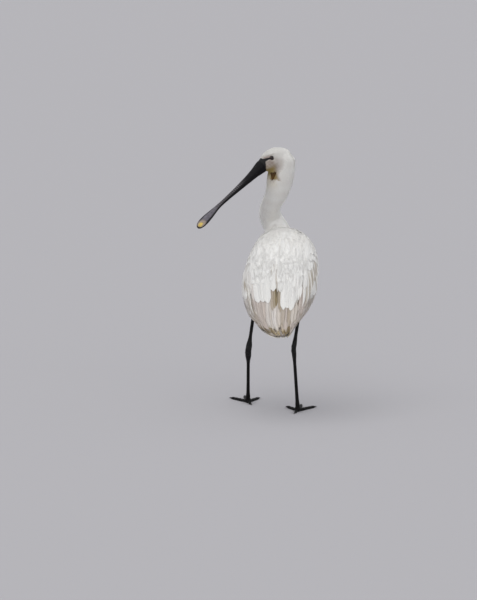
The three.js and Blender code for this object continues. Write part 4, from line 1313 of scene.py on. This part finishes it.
# tertials: long and soft, over the base of the tail, worn to streaks
for i in range(19):
    e = i / 18
    xm = 255 + 46 * e
    b = 1 - ((xm - 278) / 23) ** 2
    x1 = 278 + (xm - 278) * 0.94 + G.normal(0, 0.5)
    c = (PINK, BEIGE, PALE, mix(BEIGE, BROWN, 0.5), PINK, mix(PALE, BEIGE, 0.5))[G.integers(0, 6)] * G.uniform(0.94, 1.08)
    by_eye(xm + G.normal(0, 0.4), 276 + 13 * b, x1, 315 + 14.5 * b + G.normal(0, 1.6), 6.0 * G.uniform(0.85, 1.15), -2.3, -1.0 + G.normal(0, 0.09), c, stain=1.0, edge=0.05, ragged=0.05, camber=0.09, tip=mix(c, OLIVE, 0.5) if G.random() < 0.4 else None, tip_from=0.9)
# what shows in the cleft between the panels
by_eye(274.4, 276, 274.4, 308.5, 4.6, -1.9, -1.0, mix(OLIVE, BEIGE, 0.45), stain=0.8, ragged=0.05)
by_eye(276.0, 276, 275.8, 306.0, 4.4, -1.8, -0.9, mix(OLIVE, BROWN, 0.15) * 0.9, stain=0.6, ragged=0.05)
by_eye(276.6, 272, 276.2, 298.5, 2.8, -1.7, -0.8, OLIVE * 0.45, stain=0.3, shape=POINTED)
by_eye(272.6, 276, 272.4, 311.5, 4.0, -2.0, -1.1, mix(BEIGE, OLIVE, 0.25), stain=0.8, ragged=0.05)
by_eye(279.2, 276, 279.6, 313.0, 4.0, -2.0, -1.1, mix(BEIGE, OLIVE, 0.4), stain=0.8, ragged=0.05)
# painted shadow: a dark feather in the slit beside the right panel
by_eye(292.5, 278, 297.4, 306.0, 3.6, -1.6, -0.5, A(0.15, 0.12, 0.09), stain=0.3, shape=POINTED)
# outer scapulars: narrower and pointed, white with dull streaks between them
for x0, y0, x1, y1, f in ((248.6, 258, 245.0, 292, 0.9), (249.6, 250, 247.0, 290, 0.35), (250.6, 250, 248.4, 296, 0.75), (251.4, 254, 250.0, 302, 0.3), (252.4, 254, 251.8, 308.5, 0.7), (253.4, 256, 253.4, 313, 0.35), (310, 248, 313.6, 281, 0.2), (308.5, 250, 312.0, 288, 0.95), (307, 252, 310.0, 294, 0.25), (306, 254, 308.4, 300.5, 1.0), (304.6, 256, 306.2, 304, 0.2), (302.6, 258, 304.0, 308.0, 0.75), (300, 260, 301.6, 306.5, 0.05), (297, 260, 299.6, 299.5, 0.0), (295, 262, 297.0, 303.0, 0.0), (311.5, 252, 315.4, 277, 0.7), (312.5, 256, 316.4, 284, 0.3), (313, 260, 316.0, 291, 1.0)):
    by_eye(x0, y0, x1, y1 + G.normal(0, 0.8), 4.6, -4.6, -0.3, mix(WHITE, mix(BEIGE, OLIVE, 0.5), f * 0.85), shape=POINTED, stain=0.1 + 0.7 * f, root_white=0.38)
by_eye(254.0, 258, 253.4, 301, 5.0, -2.6, -1.0, mix(WHITE, PINK, 0.6), stain=0.4, ragged=0.04)
by_eye(252.4, 258, 251.8, 297, 4.6, -2.9, -1.2, mix(WHITE, PINK, 0.4), stain=0.4, ragged=0.04)
# the two white panels of long scapulars, each with a clean end, painted a little greyer than the mantle's white as
# painted shade
flat = dict(camber=0.035, ridge=0.08, dip=0.3, ragged=0.007, shape=SQUARE)
for x0, y0, x1, y1, half, h in ((263.4, 250, 263.2, 302.6, 9.0, -0.3), (258.8, 252, 258.6, 303.2, 8.8, 0.0), (267.8, 250, 267.9, 303.8, 8.8, 0.02), (286.6, 250, 286.4, 308.6, 8.0, -0.3), (283.0, 253, 282.7, 310.2, 7.6, 0.0), (289.8, 252, 289.6, 311.0, 8.0, 0.02), (293.6, 254, 293.4, 304.6, 5.0, -0.2)):
    by_eye(x0, y0, x1, y1, half, -1.6, h, WHITE * G.uniform(0.91, 0.94), **flat)
# the short ones that close the cleft from above, painted greyer still as painted shade beside the cleft, with a dull
# feather between them as painted shadow of the parting
for x0, y0, x1, y1 in ((272.4, 256, 272.9, 291.6), (280.6, 256, 280.0, 292.6)):
    by_eye(x0, y0, x1, y1, 6.6, -1.4, 0.05, WHITE * G.uniform(0.88, 0.91), ragged=0.03, camber=0.05, ridge=0.1, shape=SQUARE)
by_eye(277.0, 262, 276.8, 292.5, 3.4, -1.7, -0.7, mix(WHITE, BEIGE, 0.55), ragged=0.04, stain=0.3)
# shorter scapulars that cover their roots, in loose rows; the upper rows are painted brighter and the lower ones
# darker, painted light and shade on the mantle
for y in (233, 239, 245.5, 252, 258):
    n = 15
    for i in range(n):
        x = 251 + 56 * (i + 0.5) / n + G.normal(0, 0.8)
        yy = y + G.normal(0, 1.6) + 0.004 * (x - 280) ** 2
        if y > 240 and abs(x - 276.6) < 1.5:
            continue
        by_eye(x, yy, x + 0.05 * (280 - x) + G.normal(0, 0.7), yy + 26 * G.uniform(0.85, 1.15), 6.6 * G.uniform(0.88, 1.12), -1.4, 0.12 + G.normal(0, 0.05), WHITE * G.uniform(0.97, 1.0) * (1.04 if y < 245 else 0.97), camber=0.06, ridge=0.08, ragged=0.03, dip=0.45)
# the thin dull line of the parting between the two sets of scapulars: dull feathers as painted shadow in the gap
for x0, y0, x1, y1, w in ((273.2, 256, 274.2, 272.0, 0.8), (274.6, 264, 276.6, 287.5, 1.3), (270.6, 262, 271.4, 276.0, 0.7)):
    by_eye(x0, y0, x1, y1, w, -1.0, 0.55, mix(WHITE, BEIGE, 0.75), shape=POINTED, ragged=0.05, stain=0.4, root_white=0.3)

# a few soft feathers over the fork where the lie of the neck and that of the back part
SIGHT = Vector((0, 0.9877, -0.1564))
for i in range(39):
    pts, nos = [], []
    x = -8 + (i % 13 - 6) * 2.0 + (i // 13) * 0.7 + G.normal(0, 0.3)
    z0, fall = 435 - 3.4 * (i // 13) - 0.4 * abs(i % 13 - 6) + G.normal(0, 0.8), 13.5 + G.normal(0, 0.8)
    for w in T_LONG:
        start = Vector((x + (x + 8) * 0.2 * w, 66.7, z0 - fall * w)) - SIGHT * 260
        hit, no, _, _ = BVH.ray_cast(start, SIGHT)
        if hit is None:
            break
        pts.append(hit)
        nos.append(no)
    if len(pts) < len(T_LONG) or max((pts[k + 1] - pts[k]).length for k in range(len(pts) - 1)) > 6:
        continue
    pts, nos = np.array(pts), np.array(nos)
    nos = unit(nos * 0.4 + nos.mean(0) * 0.6)
    h = -0.8 + 2.6 * smooth(T_LONG, 0, 0.5) - 0.5 * smooth(T_LONG, 0.7, 1) + 0.1 * (i % 3)
    line = (pts + nos * h[:, None])[None]
    w = 1.5 * HAIRY(T_LONG) + 0.25
    body_coat.add(line, nos[None], np.stack([w, w], -1)[None], w[None] * 0.2, np.full((1, len(w)), 0.4), np.broadcast_to(WHITE * 1.06, (1, len(w), 3)), np.zeros((1, len(w))), chart(line[0][:1], classify(line[0][:1])), ridge=0.05, swept=0.1, seed=900 + i, t=T_LONG)

print("long", len(long_coat.batches))
head_coat.build(FINE)
neck_coat.build(FINE)
body_coat.build(CONTOUR)
down_coat.build(FINE)
long_coat.build(LONG, ("flight_feathers_left", "flight_feathers_right"))

# ------------------------------------------------------------------ the skin object, with the bare legs
leg_parts_all, claw_parts = [], []
for side in LEGS:
    parts, claws = leg_parts(side)
    v, f = remeshed("leg_" + side, parts, 1.12, 3)
    v[:, 2] = np.maximum(v[:, 2], 0.0)
    leg_parts_all.append((v, f))
    claw_parts += [(name + "_" + side, c) for name, c in claws]
SV, SF = join([(body_v, body_f)] + leg_parts_all)
skin = new_object("skin", SV, SF)
me = skin.data
n_body = len(body_v)
col = np.zeros((len(SV), 3))
col[:n_body] = SKIN_COL
lv = SV[n_body:]
knee_grey = np.exp(-(np.minimum(np.linalg.norm(lv - LEGS["left"]["ankle"], axis=1), np.linalg.norm(lv - LEGS["right"]["ankle"], axis=1)) / 24) ** 2)
col[n_body:] = mix(np.broadcast_to(A(0.0050, 0.0048, 0.0048), lv.shape), A(0.022, 0.022, 0.024), knee_grey * 0.6 + 0.15 * (0.5 + 0.5 * noise(lv, 14, 4)))
ca = me.attributes.new("Col", "FLOAT_COLOR", "POINT")
ca.data.foreach_set("color", np.c_[col, np.ones(len(col))].astype(np.float32).ravel())
# unwrap: the body's charts, and the legs' strips
uvv = np.zeros((len(SV), 2))
uvv[:n_body] = chart(body_v, C)
left_leg = lv[:, 0] < -20
uvv[n_body:, 0] = np.where(left_leg, 0.02, 0.52) + 0.44 * ((np.arctan2(lv[:, 1] - np.where(left_leg, 80, 0), lv[:, 0] - np.where(left_leg, -70, 35)) / (2 * np.pi) + 0.5) % 1.0)
uvv[n_body:, 1] = 0.975 + 0.02 * np.clip(lv[:, 2] / 240, 0, 1)
layer = me.uv_layers.new(name="OFBake")
li = np.empty(len(me.loops), np.int32)
me.loops.foreach_get("vertex_index", li)
luv = uvv[li]
pl = np.empty(len(me.polygons), np.int32)
me.polygons.foreach_get("loop_total", pl)
face_of = np.repeat(np.arange(len(pl)), pl)
umax = np.full(len(pl), -1.0)
np.maximum.at(umax, face_of, luv[:, 0])
umin = np.full(len(pl), 2.0)
np.minimum.at(umin, face_of, luv[:, 0])
wrap = (umax - umin > 0.4)[face_of] & (luv[:, 0] < 0.5)
luv[wrap, 0] = np.minimum(0.985, umax[face_of][wrap] + 0.002)
layer.data.foreach_set("uv", luv.astype(np.float32).ravel())

m_skin, nt, bsdf = material("feathered_skin")
cn = node(nt, "ShaderNodeAttribute", attribute_name="Col")
geo = node(nt, "ShaderNodeNewGeometry")
ns = node(nt, "ShaderNodeTexNoise")
ns.inputs["Scale"].default_value = 900
nt.links.new(geo.outputs["Position"], ns.inputs["Vector"])
nt.links.new(mixer(nt, cn.outputs[0], (0.86, 0.85, 0.84), math_node(nt, "MULTIPLY", ns.outputs[0], 0.5), "MULTIPLY"), bsdf.inputs["Base Color"])
bsdf.inputs["Roughness"].default_value = 0.6
bsdf.inputs["Specular IOR Level"].default_value = 0.2
bp = node(nt, "ShaderNodeBump")
bp.inputs["Strength"].default_value = 0.35
bp.inputs["Distance"].default_value = 0.0004
nt.links.new(ns.outputs[0], bp.inputs["Height"])
nt.links.new(bp.outputs[0], bsdf.inputs["Normal"])

m_leg, nt, bsdf = material("leg_scales")
cn = node(nt, "ShaderNodeAttribute", attribute_name="Col")
geo = node(nt, "ShaderNodeNewGeometry")
vor = node(nt, "ShaderNodeTexVoronoi", feature="DISTANCE_TO_EDGE")
vor.inputs["Scale"].default_value = 420
mp = node(nt, "ShaderNodeMapping")
mp.inputs["Scale"].default_value = (1, 1, 0.62)
nt.links.new(geo.outputs["Position"], mp.inputs["Vector"])
nt.links.new(mp.outputs[0], vor.inputs["Vector"])
# painted shade: the leg's colour darkened in the grooves between the scales
groove = math_node(nt, "MULTIPLY", vor.outputs[0], 9.0, clamp=True)
ns = node(nt, "ShaderNodeTexNoise")
ns.inputs["Scale"].default_value = 120
nt.links.new(geo.outputs["Position"], ns.inputs["Vector"])
basec = mixer(nt, mixer(nt, cn.outputs[0], (0.35, 0.34, 0.33), math_node(nt, "SUBTRACT", 1.0, groove), "MULTIPLY"), (0.045, 0.042, 0.040), math_node(nt, "MULTIPLY", math_node(nt, "SUBTRACT", ns.outputs[0], 0.55, clamp=True), 1.2))
nt.links.new(basec, bsdf.inputs["Base Color"])
rr = math_node(nt, "MULTIPLY_ADD", ns.outputs[0], 0.35, 0.36)
nt.links.new(rr, bsdf.inputs["Roughness"])
bsdf.inputs["Specular IOR Level"].default_value = 0.09
bp = node(nt, "ShaderNodeBump")
bp.inputs["Strength"].default_value = 0.6
bp.inputs["Distance"].default_value = 0.0005
nt.links.new(groove, bp.inputs["Height"])
nt.links.new(bp.outputs[0], bsdf.inputs["Normal"])
me.materials.append(m_skin)
me.materials.append(m_leg)
mi = (np.arange(len(me.polygons)) >= len(body_f)).astype(np.int32)
me.polygons.foreach_set("material_index", mi)
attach(skin, "root")
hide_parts("head", "neck_upper", "neck_middle", "neck_lower", "trunk", "tail", "wing_left", "wing_right", "thigh_left", "thigh_right", "shank_left", "shank_right", "tarsus_left", "tarsus_right", "foot_left", "foot_right")

# ------------------------------------------------------------------ bill
BILL_COL = A(0.0062, 0.0056, 0.0068)


def bill_part(part):
    AL, AR = 230, 64

    def place(t, a):
        k = ((t > 0) & (t < 1)).astype(float)
        q = -8.8 + (BILL_LENGTH + 8.8) * (0.5 - 0.5 * np.cos(np.pi * t))
        at = np.clip(q, -8, BILL_LENGTH - 0.25)
        l, u = ring(a, k * bill_half(at), k * bill_top(at), k * bill_under(at), 2.1)
        gape = 0.18
        x = np.abs(l) / np.maximum(bill_half(at), 0.5)
        if part == "upper":
            # cross ridges over the flat of the bill, and a groove along each edge
            ridge = np.sin(2 * np.pi * q / 4.6 + 0.8 * np.sin(q / 9)) * smooth(q, 52, 80) * smooth(-q, -176, -120)
            crown = smooth(u, 0, 1.2) * k
            u = np.where(u > 0, u + gape, gape)
            u = u + crown * (0.30 * ridge * (1 - x**4) - 0.75 * np.exp(-(((x - 0.72) / 0.1) ** 2)) * smooth(q, 4, 30) * smooth(-q, -190, -150))
            dish = smooth(q, 140, 165) * smooth(-q, -203, -190)
            u = u - crown * dish * 0.8 * (1 - x**2)
            u = np.maximum(u, gape)
            nail = smooth(q, 199, 206) * (x < 0.9)
            u = u - nail * 0.5
        else:
            u = np.where(u < 0, u - gape, -gape)
            l = l * (0.955 - 0.02 * smooth(q, 140, 180))
            keel = np.exp(-((x / 0.3) ** 2)) * smooth(-u, 0, 1.2) * k
            u = u + keel * 1.0 * smooth(q, 10, 40) * smooth(-q, -150, -90)
            dish = smooth(q, 140, 165) * smooth(-q, -203, -190)
            u = u + smooth(-u, 0.2, 1.2) * dish * 0.6 * (1 - x**2)
            u = np.minimum(u, -gape)
        u = np.where(k > 0, u, gape if part == "upper" else -gape)
        return BILL_BASE + q[:, None] * BILL_WAY + l[:, None] * LEFT + (u + bill_sag(q))[:, None] * BILL_UP

    v, f = loft(place, AR, AL)
    o = new_object("bill_" + part + "_horn", v, f)
    d = v - BILL_BASE
    q, l, u = dot(d, BILL_WAY), dot(d, LEFT), dot(d, BILL_UP) - bill_sag(dot(d, BILL_WAY))
    x = np.abs(l) / np.maximum(bill_half(np.clip(q, 0, 206.5)), 1)
    c = np.broadcast_to(BILL_COL, v.shape).copy()
    if part == "upper":
        top = smooth(u, 0.3, 1.6)
        # painted sheen: the upper surface lighter and bluish from the base along the bill
        top_sheen = top * smooth(q, 4, 100) * (1 - smooth(x, 0.55, 0.80))
        c = mix(c, A(0.024, 0.020, 0.027), top_sheen * (0.6 + 0.3 * noise(v, 22, 3)))
        # painted sheen: the spatula's upper surface blue-grey, lighter towards the tip
        spoon = top * smooth(q, 122, 158) * (1 - smooth(x, 0.54, 0.72))
        c = mix(c, A(0.185, 0.172, 0.205), spoon * (0.72 + 0.25 * noise(v, 12, 8)))
        # painted highlight: the crests of the cross ridges paler on the upper surface
        ridge = 0.5 + 0.5 * np.sin(2 * np.pi * q / 4.6 + 0.8 * np.sin(q / 9))
        pale = ridge**3 * smooth(q, 46, 76) * smooth(-q, -172, -120) * top * (1 - smooth(x, 0.6, 0.9))
        c = mix(c, A(0.24, 0.225, 0.235), pale * 0.85)
        # the yellow patch near the tip, with a pale border
        e = np.sqrt(((q - 198.0) / 7.0) ** 2 + (l / 9.5) ** 2) + 0.12 * noise(v, 9, 6)
        c = mix(c, A(0.36, 0.29, 0.24), smooth(-e, -2.5, -1.5) * (1 - smooth(x, 0.72, 0.88)) * top * 0.9)
        c = mix(c, A(0.66, 0.49, 0.13), smooth(-e, -1.15, -0.8) * (1 - smooth(x, 0.90, 1.0)) * top)
        c = mix(c, A(0.03, 0.022, 0.015), smooth(q, 205.0, 206.6) * 0.8)
    else:
        c = mix(c, A(0.05, 0.05, 0.055), smooth(-u, 1, 4) * smooth(q, 20, 120) * 0.6)
        e = np.sqrt(((q - 196) / 8) ** 2 + (l / 11) ** 2) + 0.12 * noise(v, 9, 6)
        c = mix(c, A(0.45, 0.34, 0.16), smooth(-e, -1.1, -0.7) * smooth(-u, 0.2, 1.0) * 0.8)
    ca = o.data.attributes.new("Col", "FLOAT_COLOR", "POINT")
    ca.data.foreach_set("color", np.c_[np.clip(c, 0.004, 1), np.ones(len(c))].astype(np.float32).ravel())
    return o


m_bill, nt, bsdf = material("bill_horn")
cn = node(nt, "ShaderNodeAttribute", attribute_name="Col")
geo = node(nt, "ShaderNodeNewGeometry")
ns = node(nt, "ShaderNodeTexNoise")
ns.inputs["Scale"].default_value = 160
ns.inputs["Detail"].default_value = 6
nt.links.new(geo.outputs["Position"], ns.inputs["Vector"])
fine = node(nt, "ShaderNodeTexNoise")
fine.inputs["Scale"].default_value = 1400
nt.links.new(geo.outputs["Position"], fine.inputs["Vector"])
nt.links.new(mixer(nt, cn.outputs[0], (0.62, 0.62, 0.62), math_node(nt, "SUBTRACT", math_node(nt, "MULTIPLY", ns.outputs[0], 1.6), 0.4, clamp=True), "MULTIPLY"), bsdf.inputs["Base Color"])
nt.links.new(math_node(nt, "MULTIPLY_ADD", ns.outputs[0], 0.30, 0.30), bsdf.inputs["Roughness"])
bsdf.inputs["Specular IOR Level"].default_value = 0.09
bp = node(nt, "ShaderNodeBump")
bp.inputs["Strength"].default_value = 0.3
bp.inputs["Distance"].default_value = 0.0003
nt.links.new(math_node(nt, "ADD", ns.outputs[0], math_node(nt, "MULTIPLY", fine.outputs[0], 0.5)), bp.inputs["Height"])
nt.links.new(bp.outputs[0], bsdf.inputs["Normal"])
for part in ("upper", "lower"):
    o = bill_part(part)
    o.data.materials.append(m_bill)
    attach(o, "root")
    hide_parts("bill_" + part)
# nostrils: a narrow slit on each side near the forehead
m_dark, nt, bsdf = material("nostril_dark")
ns = node(nt, "ShaderNodeTexNoise")
ns.inputs["Scale"].default_value = 700
nt.links.new(mixer(nt, (0.006, 0.006, 0.006), (0.014, 0.012, 0.012), ns.outputs[0]), bsdf.inputs["Base Color"])
bsdf.inputs["Roughness"].default_value = 0.7
slits = []
for sgn in (1, -1):
    def slit(t, a, sgn=sgn):
        q = 7 + 9.5 * t
        w = 0.75 * np.sin(np.pi * t) ** 0.7
        x = 0.34
        l = sgn * bill_half(q) * x
        u = bill_top(q) * (1 - x**2.1) ** (1 / 2.1) + 0.18
        return BILL_BASE + q[:, None] * BILL_WAY + (l + w * np.cos(a))[:, None] * LEFT + (u + bill_sag(q) - 0.15 + 0.35 * w * np.sin(a))[:, None] * BILL_UP
    slits.append(loft(slit, 12, 20))
v, f = join(slits)
o = new_object("nostrils", v, f)
o.data.materials.append(m_dark)
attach(o, "root")

# ------------------------------------------------------------------ eyes and lids
m_eye, nt, bsdf = material("eye")
cn = node(nt, "ShaderNodeAttribute", attribute_name="Col")
geo = node(nt, "ShaderNodeNewGeometry")
ns = node(nt, "ShaderNodeTexNoise")
ns.inputs["Scale"].default_value = 2200
nt.links.new(geo.outputs["Position"], ns.inputs["Vector"])
nt.links.new(mixer(nt, cn.outputs[0], (0.55, 0.5, 0.5), ns.outputs[0], "MULTIPLY"), bsdf.inputs["Base Color"])
bsdf.inputs["Roughness"].default_value = 0.10
bsdf.inputs["Specular IOR Level"].default_value = 0.28
bsdf.inputs["Coat Weight"].default_value = 0.18
bsdf.inputs["Coat Roughness"].default_value = 0.02
m_lid, nt, bsdf = material("lids")
ns = node(nt, "ShaderNodeTexNoise")
ns.inputs["Scale"].default_value = 1500
nt.links.new(mixer(nt, (0.009, 0.007, 0.007), (0.026, 0.020, 0.019), ns.outputs[0]), bsdf.inputs["Base Color"])
bsdf.inputs["Roughness"].default_value = 0.55
bp = node(nt, "ShaderNodeBump")
bp.inputs["Strength"].default_value = 0.4
bp.inputs["Distance"].default_value = 0.0002
nt.links.new(ns.outputs[0], bp.inputs["Height"])
nt.links.new(bp.outputs[0], bsdf.inputs["Normal"])
lid_parts = []
for side, sgn in (("left", 1), ("right", -1)):
    e, _, gaze = EYES[sgn]
    e = e - gaze * 1.0
    fore = unit(HF - gaze * np.dot(HF, gaze))
    top = unit(np.cross(gaze, fore))
    if np.dot(top, HU) < 0:
        top = -top

    def globe(t, a, e=e, gaze=gaze, fore=fore, top=top):
        th = np.pi * t
        r = 6.1 * (1 + 0.035 * np.exp(-((th / 0.7) ** 2)))
        return e + r[:, None] * (np.cos(th)[:, None] * gaze + (np.sin(th) * np.cos(a))[:, None] * fore + (np.sin(th) * np.sin(a))[:, None] * top)

    v, f = loft(globe, 48, 40)
    o = new_object("eye_" + side + "_globe", v, f)
    d = unit(v - e)
    off = np.degrees(np.arccos(np.clip(d @ gaze, -1, 1)))
    c = np.broadcast_to(A(0.004, 0.004, 0.004), v.shape).copy()
    iris = smooth(off, 25, 28)
    spokes = 0.7 + 0.3 * np.sin(np.arctan2(d @ top, d @ fore) * 17)
    c = mix(c, A(0.06, 0.009, 0.006), iris * spokes)
    c = mix(c, A(0.008, 0.006, 0.006), smooth(off, 40, 46))
    ca = o.data.attributes.new("Col", "FLOAT_COLOR", "POINT")
    ca.data.foreach_set("color", np.c_[c, np.ones(len(c))].astype(np.float32).ravel())
    o.data.materials.append(m_eye)
    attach(o, "root")
    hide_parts("eye_" + side)

    # the lids: one rim drawn into a corner in front and behind
    n_u, n_v = 96, 12
    vs, fs = [], []
    for i in range(n_u):
        b = 2 * math.pi * i / n_u
        corner = 1 + 0.17 * abs(math.cos(b)) ** 6
        R = 4.15 * corner * (0.95 if math.sin(b) > 0 else 0.98)
        out = max(0.2, 6.1**2 - min(R, 5.2) ** 2) ** 0.5
        centre = e + gaze * (out + 0.22 - 0.3 * abs(math.cos(b)) ** 6) + (fore * math.cos(b) + top * math.sin(b)) * R
        tube = 0.68 + 0.30 * max(0, math.sin(b))
        radial = fore * math.cos(b) + top * math.sin(b)
        for j in range(n_v):
            w = 2 * math.pi * j / n_v
            vs.append(centre + tube * (math.cos(w) * radial * 1.35 + math.sin(w) * gaze * 0.8))
    for i in range(n_u):
        for j in range(n_v):
            a0, a1 = i * n_v + j, i * n_v + (j + 1) % n_v
            b0, b1 = (i + 1) % n_u * n_v + j, (i + 1) % n_u * n_v + (j + 1) % n_v
            fs.append((a0, b0, b1, a1) if sgn > 0 else (a0, a1, b1, b0))
    lid_parts.append((np.array(vs), fs))
v, f = join(lid_parts)
o = new_object("eyelids", v, f)
o.data.materials.append(m_lid)
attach(o, "root")

# ------------------------------------------------------------------ claws
m_claw, nt, bsdf = material("claw_horn")
ns = node(nt, "ShaderNodeTexNoise")
ns.inputs["Scale"].default_value = 500
nt.links.new(mixer(nt, (0.010, 0.010, 0.010), (0.045, 0.040, 0.036), ns.outputs[0]), bsdf.inputs["Base Color"])
bsdf.inputs["Roughness"].default_value = 0.35
for name, (v, f) in claw_parts:
    v = v.copy()
    v[:, 2] = np.maximum(v[:, 2], 0)
    o = new_object("claw_" + name + "_horn", v, f)
    o.data.materials.append(m_claw)
    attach(o, "root")
    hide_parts("claw_" + name)

# ------------------------------------------------------------------ floor, light and camera
floor = new_object("floor", np.array([(-40000, -30000, 0), (40000, -30000, 0), (40000, 60000, 0), (-40000, 60000, 0)]), [(0, 1, 2, 3)], False)
m_floor, nt, bsdf = material("floor")
bsdf.inputs["Base Color"].default_value = (0.425, 0.419, 0.441, 1)
bsdf.inputs["Roughness"].default_value = 0.9
bsdf.inputs["Specular IOR Level"].default_value = 0.1
floor.data.materials.append(m_floor)

world = bpy.data.worlds.new("soft")
bpy.context.scene.world = world
world.use_nodes = True
world.node_tree.nodes["Background"].inputs[0].default_value = (0.97, 0.98, 1.0, 1)
world.node_tree.nodes["Background"].inputs[1].default_value = 0.72


def sun(name, direction, strength, size, colour=(1, 1, 1)):
    l = bpy.data.lights.new(name, "SUN")
    l.energy, l.angle, l.color = strength, rad(size), colour
    o = bpy.data.objects.new(name, l)
    o.rotation_euler = (-Vector(direction)).to_track_quat("-Z", "Y").to_euler()
    bpy.context.scene.collection.objects.link(o)


sun("key", (-0.3, -0.3, 1.0), 0.98, 60, (1, 0.985, 0.96))
sun("fill", (0.2, -1.0, 0.22), 1.12, 80, (1, 0.985, 0.97))

scene = bpy.context.scene
scene.view_settings.view_transform = "Standard"
PX = 2.26
ELEV = rad(9)
DIST = 15000
target = A(-93.8, 20, (252 - 0.1564 * 20) / 0.9877)
cam = bpy.data.cameras.new("camera")
cam.sensor_fit = "VERTICAL"
cam.sensor_height = 36
cam.sensor_width = 36
cam.lens = 36 * DIST / (600 * PX)
cam.clip_end = 200
co = bpy.data.objects.new("camera", cam)
co.location = row(target + DIST * A(0, -math.cos(ELEV), math.sin(ELEV)))
co.rotation_euler = (math.pi / 2 - ELEV, 0, 0)
scene.collection.objects.link(co)
scene.camera = co
